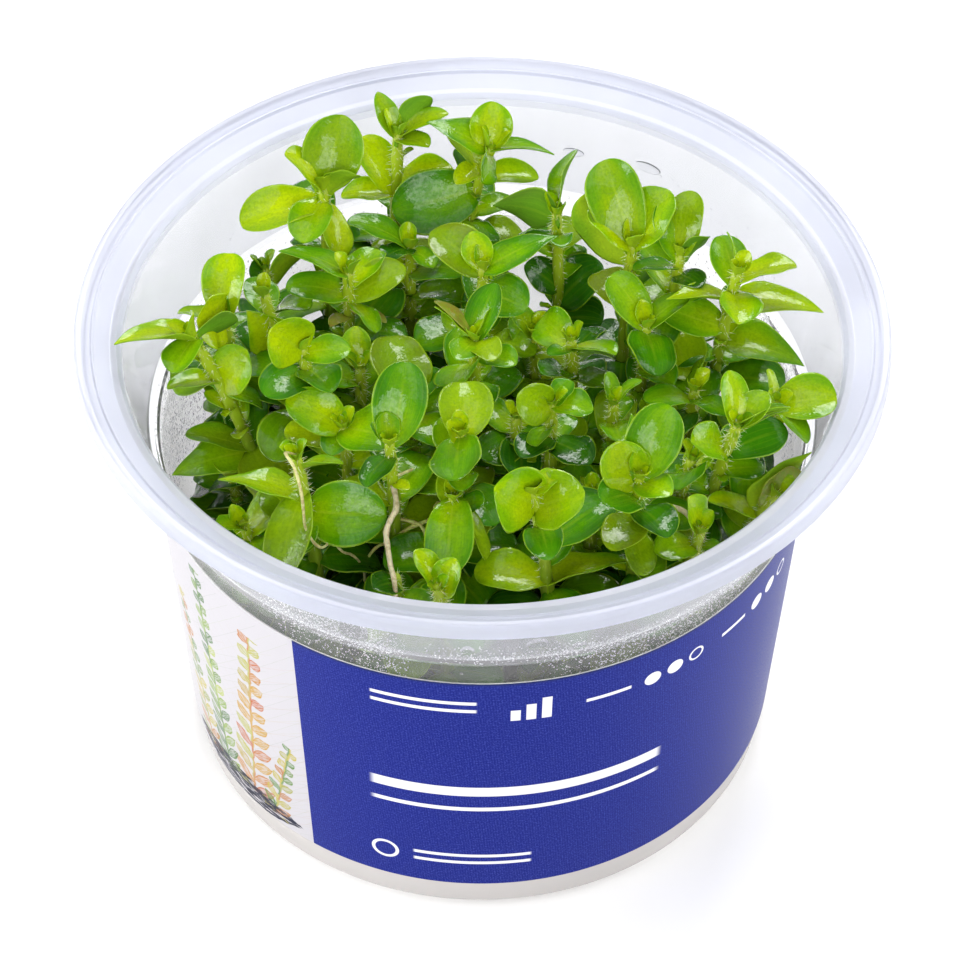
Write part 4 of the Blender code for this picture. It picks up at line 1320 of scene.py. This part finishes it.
def addSeenLeaves(growth, stalk, rows, chance):
    # returns the start depth and heading of each, so that the other leaves keep away
    taken = []
    for row in rows:
        length, width, age = row[4] * mm, row[7], row[8]
        grown = min(1.0, age)
        bend = leaf["seenBend"]
        droop = leaf["seenDroop"][0] + leaf["seenDroop"][1] * grown
        base, pitch, depth = seenBase(stalk, row, bend + droop * 0.6)
        cupping = leaf["seenCup"][0] + leaf["seenCup"][1] * grown + chance.uniform(-0.06, 0.06)
        look = {"length": length, "pitch": pitch, "cup": cupping, "bend": bend, "droop": droop,
                "twist": chance.uniform(-6, 6), "age": age, "width": width, "rings": leaf["seenRings"],
                "acrossPoints": leaf["acrossPoints"], "acute": len(row) > 9}
        addLeaf(growth, base, look, chance)
        taken.append((depth, (leafTip(*base[:3], length, pitch) - base[0]).normalized()))
    return taken


# leaves of the solids that would stand before a seen one: shoot, pair and side, counted from 0
leftOut = ((7, 2, 0), (7, 2, 1), (7, 2, 3))
bareTips = (37,)         # shoots whose tip is withered


def addSolidLeaves(growth, stalk, number, poses, taken, watched, chance):
    # the leaves of the solids, except where a seen leaf already stands
    for level in range(len(stalk.nodes)):
        for half in range(2):
            side = (level + 1) % 2 + 2 * half
            pose = poses.get((number, level, side))
            if pose is None or (taken and level == 0):
                continue
            length, pitch, turn = pose
            depth = max(stalk.nodes[level], shoot["nodeHalf"])
            base = leafBase(stalk, depth, side, turn)
            heading = (leafTip(*base[:3], length, pitch) - base[0]).normalized()
            if any(abs(depth - other) < shoot["apart"] and heading.dot(where) > shoot["alike"]
                   for other, where in taken):
                continue
            if taken and level == 1:
                continue
            if level > 0 and hidesSeenLeaf(base, length, pitch, watched, 0.5):
                continue
            if (number, level, side) in leftOut:
                continue
            addLeaf(growth, base, levelLook(level, length, pitch, chance), chance)
            taken.append((depth, heading))


def watchSeenLeaves(stalks):
    # where the photograph shows leaves: middle pixel, reach in pixels and distance from the camera
    eye = Vector(camera["place"])
    watched = []
    for number, rows in seenLeaves.items():
        stalk = stalks[number - 1]
        for row in rows:
            base, pitch, depth = seenBase(stalk, row, leaf["seenBend"])
            tip = leafTip(*base[:3], row[4] * mm, pitch)
            middle = (base[0] + 1.4 * tip) / 2.4
            reach = watch["perMm"] * row[4] * (0.35 + 0.5 * row[7] * max(0.4, abs(row[6])))
            watched.append((toPixel(middle), reach, (middle - eye).length))
    for radius, green, ending, pixels in threads:
        for x, y, height in pixels:
            distance = (pixelPoint(x, y, height) - eye).length
            watched.append((Vector((x, y)), watch["threadReach"], distance))
    return watched


def hidesSeenLeaf(base, length, pitch, watched, strict=1.0):
    eye = Vector(camera["place"])
    for share in (0.45, 1.0):
        point = leafTip(*base[:3], length * share, pitch)
        pixel, distance = toPixel(point), (point - eye).length
        for middle, reach, other in watched:
            near = strict * (reach + watch["leafReach"] * length / mm)
            if distance < other + watch["ahead"] and (pixel - middle).length < near:
                return True
    return False


filler = {
    "first": 4.5 * mm,             # depth of the first below the tip
    "last": 4 * mm,                # and of the last above the stem's foot
    "spacing": (4.2, 5.6),
    "tries": 7,
    "room": 3.5 * mm,
    # of two numbers, at the tip and how much changes down to the foot
    "pitch": (44, -60),
    "pitchSpread": 16,
    "age": (0.25, 1.0),
    "ageSpread": 0.15,
    "lengths": (0.74, 1.10),       # shares of a full leaf
    "widths": (0.62, 0.86),
    # small leaves in the axils, and how often they stand there
    "axilChance": 0.45,
    "axilLengths": (0.28, 0.45),
    "axilPitches": (35, 62),
    "axilAges": (0.05, 0.35),
    "axilWidth": 0.62,
}


def addFiller(growth, stalk, depth, length, pitch, age, width, taken, watched, chance):
    # one more leaf at a depth, turned where there is room round the stem and nothing seen is hidden
    for attempt in range(filler["tries"]):
        side = chance.randrange(4)
        base = leafBase(stalk, depth, side, chance.uniform(-40, 40))
        size = length * (1.0 - 0.06 * attempt)
        tip = leafTip(*base[:3], size, pitch)
        heading = (tip - base[0]).normalized()
        crowded = any(abs(depth - other) < filler["room"] and heading.dot(where) > 0.35
                      for other, where in taken)
        if crowded or not insideCup(tip) or hidesSeenLeaf(base, size, pitch, watched):
            continue
        look = levelLook(min(4, max(0, round(4 * age))), size, pitch, chance)
        look.update(age=age, width=width, rings=9 if size < 6 * mm else 12, acrossPoints=7)
        addLeaf(growth, base, look, chance)
        taken.append((depth, heading))
        return


def addFillers(growth, stalk, fullLength, taken, watched, chance):
    # leaves between the pairs of the solids, small shoots in their axils, and old leaves below
    depth = filler["first"]
    while depth < stalk.length - filler["last"]:
        share = depth / stalk.length
        for leafNumber in range(2 if share < 0.4 else 3):
            length = fullLength * chance.uniform(*filler["lengths"])
            pitch = filler["pitch"][0] + filler["pitch"][1] * share
            pitch += chance.uniform(-filler["pitchSpread"], filler["pitchSpread"])
            age = filler["age"][0] + filler["age"][1] * share
            age += chance.uniform(-filler["ageSpread"], filler["ageSpread"])
            addFiller(growth, stalk, depth + chance.uniform(-1.0, 1.0) * mm, length, pitch, min(1.0, age),
                      chance.uniform(*filler["widths"]), taken, watched, chance)
        if chance.random() < filler["axilChance"]:
            for leafNumber in range(2):
                length = fullLength * chance.uniform(*filler["axilLengths"])
                pitch, age = chance.uniform(*filler["axilPitches"]), chance.uniform(*filler["axilAges"])
                addFiller(growth, stalk, depth + 0.6 * mm, length, pitch, age, filler["axilWidth"],
                          taken, watched, chance)
        depth += chance.uniform(*filler["spacing"]) * mm


leafPaint = {
    # colours by age, from new to old
    "stops": ((0.0, (0.43, 0.58, 0.001)), (0.28, (0.21, 0.43, 0.001)), (0.6, (0.060, 0.235, 0.001)),
              (1.0, (0.010, 0.068, 0.002))),
    "yellower": (0.43, 0.50, 0.004),
    "greener": (0.030, 0.175, 0.006),
    "mottle": (0.03, 0.13, 0.002),
    "midrib": (0.38, 0.54, 0.02),
    "vein": (0.28, 0.46, 0.01),
    "margin": (0.38, 0.60, 0.02),
    "under": (0.20, 0.37, 0.03),
    "browns": ((0.42, 0.36, 0.06), (0.30, 0.13, 0.035)),
    "wet": (0.03, 0.15, 0.004),
    "wetCover": 0.68,
}
stemPaint = {
    "young": (0.34, 0.47, 0.006),
    "middle": (0.16, 0.28, 0.006),
    "foot": (0.17, 0.15, 0.04),
    "streak": (0.46, 0.56, 0.06),
}
stemHair = {
    "density": 2800000.0,          # hairs to the square metre, where they are densest
    "length": 1.0 * mm,
    "radius": 0.055 * mm,
    "shades": ((0.62, 0.72, 0.30), (0.86, 0.90, 0.62)),
}


def paintByAge(tree, age):
    ramp = addNode(tree, "ShaderNodeValToRGB", {0: age})
    elements = ramp.color_ramp.elements
    while len(elements) < len(leafPaint["stops"]):
        elements.new(0.5)
    for element, (position, colour) in zip(elements, leafPaint["stops"]):
        element.position = position
        element.color = (*colour, 1.0)
    return ramp.outputs[0]


def layReliefs(tree, heights, reaches, strengths):
    # one relief out of several, from fine to broad, with their reaches in millimetres
    relief = None
    for height, reach, strength in zip(heights, reaches, strengths):
        relief = bump(tree, height, reach * mm, strength, relief)
    return relief


def makeLeafMaterial():
    values = {"IOR": 1.42, "Specular IOR Level": 0.05, "Coat Roughness": 0.07, "Coat IOR": 1.42}
    material, tree, shader = newMaterial("leafGreen", values)
    place = objectPlace(tree)
    pair = splitXyz(tree, addNode(tree, "ShaderNodeUVMap", uv_map="leafMap").outputs[0])
    across = maths(tree, "ABSOLUTE", minus(tree, times(tree, pair[0], 2.0), 1.0))
    along = pair[1]
    age, tone, under, wither = (readAttribute(tree, name) for name in ("age", "tone", "under", "wither"))
    mottle = noise(tree, place, 130.0, 2.0, 0.5)
    fineMottle = noise(tree, place, 2400.0, 3.0, 0.6)

    # a leaf's base and middle are paler, painted light that shines through the leaf there; towards its edge
    # it is older and darker
    ageAndGlow = plus(tree, age, times(tree, minus(tree, mottle, 0.5), 0.42))
    # painted light: paler towards the base, where light shines through the leaf
    ageAndGlow = minus(tree, ageAndGlow, mapRange(tree, along, 0.0, 0.75, 0.20, -0.04))
    ageAndGlow = plus(tree, ageAndGlow, mapRange(tree, across, 0.30, 0.95, -0.08, 0.17))
    fibres = joinXyz(tree, times(tree, across, 24.0), times(tree, along, 4.0), times(tree, tone, 40.0))
    fibre = noise(tree, fibres, 1.0, 3.0, 0.65)
    ageAndGlow = plus(tree, ageAndGlow, times(tree, minus(tree, fibre, 0.5), 0.34))
    colour = paintByAge(tree, ageAndGlow)
    colour = mixColour(tree, mapRange(tree, tone, 0.62, 1.0, 0.0, 0.40), colour, leafPaint["yellower"])
    colour = mixColour(tree, mapRange(tree, tone, 0.0, 0.38, 0.50, 0.0), colour, leafPaint["greener"])
    colour = mixColour(tree, mapRange(tree, fineMottle, 0.40, 0.70, 0.0, 0.26), colour, leafPaint["mottle"])
    midrib = times(tree, mapRange(tree, across, 0.015, 0.075, 0.55, 0.0),
                   mapRange(tree, ageAndGlow, 0.1, 0.7, 0.75, 0.25))
    midrib = times(tree, midrib, mapRange(tree, along, 0.50, 0.90, 1.0, 0.0))
    colour = mixColour(tree, midrib, colour, leafPaint["midrib"])
    vein = maths(tree, "SINE", times(tree, across, 26.0))
    colour = mixColour(tree, mapRange(tree, vein, 0.6, 1.0, 0.0, 0.08), colour, leafPaint["vein"])
    colour = mixColour(tree, mapRange(tree, across, 0.90, 1.0, 0.0, 0.70), colour, leafPaint["margin"])
    colour = mixColour(tree, times(tree, under, 0.40), colour, leafPaint["under"])
    brown = mixColour(tree, mapRange(tree, mottle, 0.42, 0.60), *leafPaint["browns"])
    browned = times(tree, wither, mapRange(tree, fineMottle, 0.3, 0.6, 0.55, 1.0))
    colour = mixColour(tree, browned, colour, brown)

    # films of water on the upper faces
    upper = minus(tree, 1.0, under)
    patches = {"Vector": place, "Scale": 150.0, "Cover": leafPaint["wetCover"]}
    wet = times(tree, useGroup(tree, wetGroup, patches)["Mask"], upper)
    colour = mixColour(tree, times(tree, wet, 0.12), colour, leafPaint["wet"])
    dry = mapRange(tree, under, 0.0, 1.0, 0.38, 0.52)
    rough = addNode(tree, "ShaderNodeMix", {0: wet, 2: dry, 3: 0.16}, data_type="FLOAT").outputs[0]
    broken = mapRange(tree, noise(tree, place, 1500.0, 3.0, 0.75), 0.40, 0.60, 0.35, 1.0)
    coat = times(tree, wet, broken)
    cells = addNode(tree, "ShaderNodeTexVoronoi", {"Vector": place, "Scale": 2600.0}).outputs["Distance"]
    film = noise(tree, place, 620.0, 3.0, 0.6)
    swell = noise(tree, place, 210.0, 1.0, 0.5)
    relief = layReliefs(tree, (cells, film, swell), (0.05, 0.26, 0.75), (0.6, 0.55, 0.55))
    wetRelief = layReliefs(tree, (cells, film, swell), (0.02, 0.10, 0.55), (0.5, 0.4, 0.5))
    feed(shader, {"Base Color": colour, "Roughness": rough, "Coat Weight": coat, "Normal": relief,
                  "Coat Normal": wetRelief})
    return material


def makeStemMaterial():
    values = {"Roughness": 0.42, "Subsurface Weight": 0.18, "Subsurface Scale": 1.2 * mm,
              "Subsurface Radius": (0.7, 1.0, 0.2)}
    material, tree, shader = newMaterial("stemGreen", values)
    place = objectPlace(tree)
    age = readAttribute(tree, "age")
    stretched = addNode(tree, "ShaderNodeMapping", {0: place, "Scale": (1.0, 1.0, 0.18)}).outputs[0]
    streak = noise(tree, stretched, 900.0, 3.0, 0.6)
    colour = mixColour(tree, mapRange(tree, age, 0.0, 0.55), stemPaint["young"], stemPaint["middle"])
    colour = mixColour(tree, mapRange(tree, age, 0.5, 1.0), colour, stemPaint["foot"])
    colour = mixColour(tree, mapRange(tree, streak, 0.4, 0.75, 0.0, 0.35), colour, stemPaint["streak"])
    feed(shader, {"Base Color": colour, "Normal": bump(tree, streak, 0.06 * mm, 0.6)})
    return material


def makeHairMaterial():
    values = {"Roughness": 0.4, "Subsurface Weight": 0.2, "Subsurface Scale": 0.2 * mm}
    material, tree, shader = newMaterial("paleHair", values)
    shade = noise(tree, objectPlace(tree), 700.0, 1.0)
    feed(shader, {"Base Color": mixColour(tree, shade, *stemHair["shades"])})
    return material


def scatterOn(tree, entry, density):
    inputs = {"Mesh": entry["Geometry"], "Density": density, "Seed": entry["Seed"]}
    return addNode(tree, "GeometryNodeDistributePointsOnFaces", inputs).outputs


def standOn(tree, points, thing, rotation, scale, material):
    # one thing on each point, as painted real mesh
    inputs = {"Points": points, "Instance": thing, "Rotation": rotation, "Scale": scale}
    instances = addNode(tree, "GeometryNodeInstanceOnPoints", inputs)
    real = addNode(tree, "GeometryNodeRealizeInstances", {0: instances.outputs[0]})
    return setMaterial(tree, real.outputs[0], material)


def readPoints(tree, name):
    return addNode(tree, "GeometryNodeInputNamedAttribute", {"Name": name}, data_type="FLOAT").outputs[0]


def pickRandom(tree, low, high, seed, kind):
    inputs = {"Min": low, "Max": high, "Seed": seed}
    return addNode(tree, "FunctionNodeRandomValue", inputs, data_type=kind).outputs


def makeHairTree():
    # short hairs that stand out of the young part of a stem
    inputs = (("Geometry", "Geometry", None), ("Density", "Float", 1500000.0), ("Length", "Float", 0.001),
              ("Radius", "Float", 0.00004), ("Seed", "Int", 1), ("Material", "Material", None))
    tree, entry, leave = newGroup("stemHairs", "GeometryNodeTree", inputs, (("Geometry", "Geometry"),))
    scatter = scatterOn(tree, entry, times(tree, readPoints(tree, "hair"), entry["Density"]))
    shape = {"Vertices": 4, "Radius Top": 0.0, "Radius Bottom": entry["Radius"], "Depth": entry["Length"]}
    cone = addNode(tree, "GeometryNodeMeshCone", shape).outputs["Mesh"]
    lean = pickRandom(tree, (-0.5, -0.5, 0.0), (0.5, 0.5, 0.0), entry["Seed"], "FLOAT_VECTOR")[0]
    turns = {"Rotation": scatter["Rotation"], "Rotate By": lean}
    turned = addNode(tree, "FunctionNodeRotateEuler", turns, space="LOCAL").outputs[0]
    size = pickRandom(tree, 0.5, 1.15, entry["Seed"], "FLOAT")[1]
    hairs = standOn(tree, scatter["Points"], cone, turned, size, entry["Material"])
    joined = addNode(tree, "GeometryNodeJoinGeometry")
    for geometry in (hairs, entry["Geometry"]):
        tree.links.new(geometry, joined.inputs[0])
    tree.links.new(joined.outputs[0], leave["Geometry"])
    return tree


def buildShoots():
    stalks = [Stalk(Vector([value * mm for value in row[:3]]), foot, row[5], row[7])
              for row, foot in zip(shootRows, placeFeet())]
    poses = readLeaves(stalks)
    watched = watchSeenLeaves(stalks)
    materials = (makeLeafMaterial(), makeStemMaterial())
    hairMaterial = makeHairMaterial()
    hairTree = makeHairTree()
    for number, stalk in enumerate(stalks):
        chance = random.Random(shoot["growthSeed"] + number)
        fullLength = shootRows[number][6] * mm
        growth = Growth()
        addStem(growth, stalk, chance)
        taken = addSeenLeaves(growth, stalk, seenLeaves.get(number + 1, ()), chance)
        addSolidLeaves(growth, stalk, number, poses, taken, watched, chance)
        if number not in bareTips:
            addBud(growth, stalk, fullLength, chance)
        addFillers(growth, stalk, fullLength, taken, watched, chance)
        buildShoot(number, growth, materials, hairMaterial, hairTree)
    buildThreads(stalks)
    seen = sum(len(rows) for rows in seenLeaves.values())
    print("shoots:", len(stalks), "stems,", seen, "leaves as seen,", len(poses), "poses read from the solids")


def buildShoot(number, growth, materials, hairMaterial, hairTree):
    piece = newPiece("shootGrowth%02d" % (number + 1), growth.points, growth.faces, materials)
    piece.data.polygons.foreach_set("material_index", growth.kinds)
    setPointUv(piece.data, "leafMap", growth.pairs)
    for name, values in growth.marks.items():
        setPointAttribute(piece.data, name, values)
    fixNormals(piece)
    applyNodes(piece, hairTree, {"Density": stemHair["density"], "Length": stemHair["length"],
                                 "Radius": stemHair["radius"], "Seed": number + 1, "Material": hairMaterial})
    finishPiece(piece, "leaf", "shoot_%02d" % (number + 1))


# Root threads and a pale stalk, as the photograph shows them: radius in millimetres, how green
# they are, where they end, and the pixels that they pass with the height there in millimetres
threads = (
    (0.26, 0.45, "gel", ((285, 456, 82), (294, 470, 81), (301, 493, 78), (304, 514, 74.5), (306, 530, 71),
                         (314, 544, 68), (323, 550, 66), (333, 544, 65), (344, 554, 61), (355, 558, 58),
                         (366, 576, 53))),
    (0.36, 0.85, "gel", ((438, 504, 63), (435, 517, 62), (424, 523, 61), (408, 530, 60), (392, 542, 58),
                         (376, 550, 56), (366, 572, 53))),
    (0.28, 0.7, "gel", ((421, 526, 61), (429, 544, 60), (438, 557, 60), (443, 560, 59))),
    (0.50, 0.0, "gel", ((397, 508, 69), (391, 521, 69), (387, 534, 68), (389, 550, 68), (392, 568, 67),
                        (397, 592, 66))),
    (0.30, 0.5, "free", ((390, 480, 66), (402, 475, 67), (413, 470, 67))),
    (0.42, 0.15, "gel", ((667, 505, 72), (682, 507, 71), (691, 516, 70), (696, 530, 68))),
    (0.22, 0.1, "free", ((696, 530, 68), (700, 524, 69), (710, 517, 70))),
    (0.40, 0.0, "gel", ((562, 294, 62), (566, 305, 60), (574, 318, 57), (584, 326, 54))),
)


def smoothPath(points, steps):
    path = []
    ends = [points[0] * 2 - points[1]] + points + [points[-1] * 2 - points[-2]]
    for index in range(1, len(ends) - 2):
        a, b, c, d = ends[index - 1:index + 3]
        for step in range(steps):
            t = step / steps
            path.append(0.5 * (2 * b + (c - a) * t + (2 * a - 5 * b + 4 * c - d) * t * t
                               + (3 * b - a - 3 * c + d) * t ** 3))
    return path + [points[-1]]


def threadPoints(row, stalks):
    radius, green, ending, pixels = row
    points = [pixelPoint(*pixel) for pixel in pixels]
    if ending == "gel":
        starts = [stalk.at(share / 30) for stalk in stalks for share in range(31)]
        points.insert(0, min(starts, key=lambda place: (place - points[0]).length))
        last = points[-1]
        points.append(Vector((last.x * 0.98, last.y * 0.98, (last.z + gel["top"]) / 2)))
        points.append(Vector((last.x * 0.95, last.y * 0.95, gel["top"] - 1.0 * mm)))
    return smoothPath(points, 3)


def addThread(growth, points, radius, green, chance):
    sides = 6
    loops = []
    for index, point in enumerate(points):
        share = index / (len(points) - 1)
        ahead = (points[min(index + 1, len(points) - 1)] - points[max(index - 1, 0)]).normalized()
        first = ahead.orthogonal().normalized()
        if loops:
            first = (before - ahead * before.dot(ahead)).normalized()
        before = first
        second = ahead.cross(first)
        reach = radius * mm * (1.0 - 0.35 * share) * chance.uniform(0.85, 1.15)
        loop = []
        for side in range(sides):
            angle = math.tau * side / sides
            place = point + (first * math.cos(angle) + second * math.sin(angle)) * reach
            loop.append(growth.addPoint(place, (side / sides, share), green, chance.random(), 0.0))
        loops.append(loop)
    growth.addTube(loops, 0)


threadPaint = {
    "pale": (0.68, 0.60, 0.40),
    "green": (0.50, 0.60, 0.08),
    "streak": (0.34, 0.27, 0.10),
    "seed": 77,
}


def makeThreadMaterial():
    values = {"Roughness": 0.45, "Subsurface Weight": 0.2, "Subsurface Scale": 0.5 * mm}
    material, tree, shader = newMaterial("rootThread", values)
    place = objectPlace(tree)
    green = readAttribute(tree, "age")
    streak = noise(tree, place, 1300.0, 3.0, 0.6)
    colour = mixColour(tree, green, threadPaint["pale"], threadPaint["green"])
    colour = mixColour(tree, mapRange(tree, streak, 0.42, 0.62, 0.0, 0.7), colour, threadPaint["streak"])
    feed(shader, {"Base Color": colour, "Normal": bump(tree, streak, 0.10 * mm, 0.7)})
    return material


def buildThreads(stalks):
    growth = Growth()
    chance = random.Random(threadPaint["seed"])
    for row in threads:
        addThread(growth, threadPoints(row, stalks), row[0], row[1], chance)
    piece = newPiece("rootThreads", growth.points, growth.faces, (makeThreadMaterial(),))
    setPointAttribute(piece.data, "age", growth.marks["age"])
    fixNormals(piece)
    finishPiece(piece, "leaf")
    print("roots:", len(threads), "threads and stalks")


# Condensation on the inside of the wall

condensation = {
    "columns": 120,
    "rows": (30.0, 38.0, 44.0, 48.0, 52.0, 56.0, 60.0, 61.3, 62.7, 63.2, 65.0, 67.0, 69.0, 71.0),
    "everywhere": 0.07,            # drops to the square millimetre
    # from and to in degrees round the cup, from and to in height, drops to the square millimetre
    "zones": ((140, 196, 42, 61.5, 4.2), (4, 34, 46, 61.5, 4.2), (34, 140, 52, 61.5, 0.7)),
    "size": (0.11 * mm, 0.24 * mm),
    # finer and whiter fog, in patches behind the front of the collar
    "fogZones": ((232, 250, 60, 69, 6.0), (250, 257, 56, 67, 7.0), (264, 276, 61.5, 66, 4.0),
                 (281, 290, 59, 66, 6.0), (290, 326, 56, 64, 7.0)),
    "fogSize": (0.07 * mm, 0.16 * mm),
    "seed": 5,
    # single large drops: degrees round the cup, height, half width and half height in millimetres
    "large": ((-110.5, 66.5, 2.3, 2.4), (-92.0, 65.6, 1.0, 0.9), (-81.0, 66.8, 1.6, 1.1),
              (-74.0, 64.4, 1.1, 0.6), (73.9, 70.0, 1.7, 0.7), (59.9, 71.0, 2.2, 0.9),
              (140.0, 56.0, 0.8, 1.6)),
    "largeDepth": 0.32 * mm,
    "dropHeight": 0.6,             # a small drop's height over its radius
    "dropRefraction": 1.27,
    "fogRefraction": 1.30,
    "tints": ((0.94, 0.95, 0.96), (1.0, 1.0, 1.0)),
}


def innerRadius(z):
    # radius of the inside of the cup at a height
    corners = ((cup["innerFootZ"], outerWall(cup["innerFootZ"]) - cup["wall"]),
               (cup["bodyTopZ"], cup["bodyTopRadius"] - cup["wall"]), (cup["ledgeZ"], cup["ledgeRadius"]),
               (cup["ledgeZ"] + 0.4 * mm, cup["stepRadius"] - cup["wall"]),
               (cup["mouthZ"] - 0.6 * mm, cup["mouthRadius"]))
    for (lowZ, lowRadius), (highZ, highRadius) in zip(corners, corners[1:]):
        if z <= highZ:
            return lowRadius + (highRadius - lowRadius) * (z - lowZ) / (highZ - lowZ)
    return corners[-1][1]


def moistness(degrees, height, zones, everywhere):
    amount = everywhere
    for fromDegrees, toDegrees, low, high, wanted in zones:
        if fromDegrees <= degrees <= toDegrees and low <= height <= high:
            amount = max(amount, wanted)
    return amount * 1e6


def makeDropTree():
    inputs = (("Geometry", "Geometry", None), ("Smallest", "Float", 0.0001), ("Largest", "Float", 0.0003),
              ("Seed", "Int", 1), ("Material", "Material", None))
    tree, entry, leave = newGroup("condensation", "GeometryNodeTree", inputs, (("Geometry", "Geometry"),))
    scatter = scatterOn(tree, entry, readPoints(tree, "moist"))
    drop = addNode(tree, "GeometryNodeMeshIcoSphere", {"Radius": 1.0, "Subdivisions": 1})
    smooth = addNode(tree, "GeometryNodeSetShadeSmooth", {"Geometry": drop.outputs["Mesh"]})
    chance = pickRandom(tree, 0.0, 1.0, entry["Seed"], "FLOAT")[1]
    small, large = entry["Smallest"], entry["Largest"]
    size = mapRange(tree, maths(tree, "POWER", chance, 2.0), 0.0, 1.0, small, large, False)
    flat = joinXyz(tree, size, size, times(tree, size, condensation["dropHeight"]))
    drops = standOn(tree, scatter["Points"], smooth.outputs[0], scatter["Rotation"], flat, entry["Material"])
    tree.links.new(drops, leave["Geometry"])
    return tree


def makeWater(name, clear, refraction):
    material, tree, shader = newMaterial(name, {"Transmission Weight": clear, "IOR": refraction})
    place = objectPlace(tree)
    rough = mapRange(tree, noise(tree, place, 400.0, 1.0), 0.4, 0.7, 0.0, 0.04)
    tint = mixColour(tree, noise(tree, place, 900.0, 1.0), *condensation["tints"])
    feed(shader, {"Roughness": rough, "Base Color": tint})
    return material


def addMist(name, zones, everywhere, sizes, water, dropTree):
    points, faces, moist = [], [], []
    columns, rows = condensation["columns"], condensation["rows"]
    for column in range(columns):
        degrees = 360.0 * column / columns
        angle = math.radians(degrees)
        for z in rows:
            radius = innerRadius(z * mm)
            points.append((radius * math.cos(angle), radius * math.sin(angle), z * mm))
            moist.append(moistness(degrees, z, zones, everywhere))
    count = len(rows)
    for column in range(columns):
        here, after = column * count, (column + 1) % columns * count
        for row in range(count - 1):
            faces.append((after + row, here + row, here + row + 1, after + row + 1))
    piece = newPiece(name, points, faces)
    setPointAttribute(piece.data, "moist", moist)
    applyNodes(piece, dropTree, {"Smallest": sizes[0], "Largest": sizes[1], "Seed": condensation["seed"],
                                 "Material": water})
    finishPiece(piece, "clear_plastic")
    print("condensation:", name, "with", len(piece.data.polygons), "faces of drops")


def addLargeDrop(work, degrees, z, halfWidth, halfHeight):
    angle = math.radians(degrees)
    outward = Vector((math.cos(angle), math.sin(angle), 0.0))
    place = outward * innerRadius(z * mm) + Vector((0.0, 0.0, z * mm))
    turn = Matrix.Rotation(angle, 4, "Z")
    size = Matrix.Diagonal((condensation["largeDepth"], halfWidth * mm, halfHeight * mm, 1.0))
    made = bmesh.ops.create_uvsphere(work, u_segments=24, v_segments=14, radius=1.0,
                                     matrix=Matrix.Rotation(math.pi / 2, 4, "Y"))["verts"]
    for point in made:
        # flat on top and steep at its rim, as a drop that a wall holds
        aside = math.hypot(point.co.y, point.co.z)
        if aside > 1e-6:
            spread = aside ** 0.3 / aside
            point.co.y *= spread
            point.co.z *= spread
    bmesh.ops.transform(work, matrix=Matrix.Translation(place) @ turn @ size, verts=made)


def buildCondensation():
    water = makeWater("dropWater", 1.0, condensation["dropRefraction"])
    dropTree = makeDropTree()
    addMist("wallMist", condensation["zones"], condensation["everywhere"], condensation["size"], water,
            dropTree)
    fogWater = makeWater("fogWater", 0.0, condensation["fogRefraction"])
    addMist("wallFog", condensation["fogZones"], 0.0, condensation["fogSize"], fogWater, dropTree)
    work = bmesh.new()
    for drop in condensation["large"]:
        addLargeDrop(work, *drop)
    beads = pieceFromWork("wallBeads", work, water)
    fixNormals(beads)
    finishPiece(beads, "clear_plastic")
    print("condensation:", len(condensation["large"]), "large drops")


# Floor, light and camera

floor = {
    "half": 3.0,
    "z": -0.2 * mm,
    "paint": (0.96, 0.96, 0.96, 1.0),
    "roughness": 0.7,
}


def buildStage():
    values = {"Base Color": floor["paint"], "Roughness": floor["roughness"]}
    work = bmesh.new()
    bmesh.ops.create_grid(work, x_segments=1, y_segments=1, size=floor["half"])
    piece = pieceFromWork("paleFloor", work, newMaterial("floorPaint", values)[0])
    piece.location.z = floor["z"]


lights = (
    # name, place, aimed at, width, height, watts
    ("backSoftbox", (0.06, 0.74, 0.84), (0.0, 0.0, 0.06), 0.52, 0.42, 6.6),
    ("topSoftbox", (-0.10, -0.06, 0.95), (0.0, 0.0, 0.06), 0.80, 0.80, 2.2),
    ("frontSoftbox", (0.16, -0.85, 0.62), (0.0, 0.0, 0.02), 0.90, 0.60, 7.4),
    ("leftSoftbox", (-0.82, -0.16, 0.26), (0.0, 0.0, 0.05), 0.70, 0.40, 5.8),
    ("rightSoftbox", (0.85, 0.12, 0.42), (0.0, 0.0, 0.05), 0.70, 0.40, 3.6),
)
worldStrength = 0.30


def buildLights():
    for name, place, target, width, height, watts in lights:
        lamp = bpy.data.lights.new(name, "AREA")
        lamp.shape = "RECTANGLE"
        lamp.size = width
        lamp.size_y = height
        lamp.energy = watts
        item = placeObject(name, lamp)
        item.location = place
        item.rotation_euler = (Vector(target) - Vector(place)).to_track_quat("-Z", "Y").to_euler()
    world = bpy.data.worlds.new("studioWhite")
    world.use_nodes = True
    background = world.node_tree.nodes["Background"].inputs
    background["Color"].default_value = (1.0, 1.0, 1.0, 1.0)
    background["Strength"].default_value = worldStrength
    bpy.context.scene.world = world


buildCup()
buildLabel()
buildGel()
buildShoots()
buildCondensation()
buildStage()
buildLights()
buildCamera()
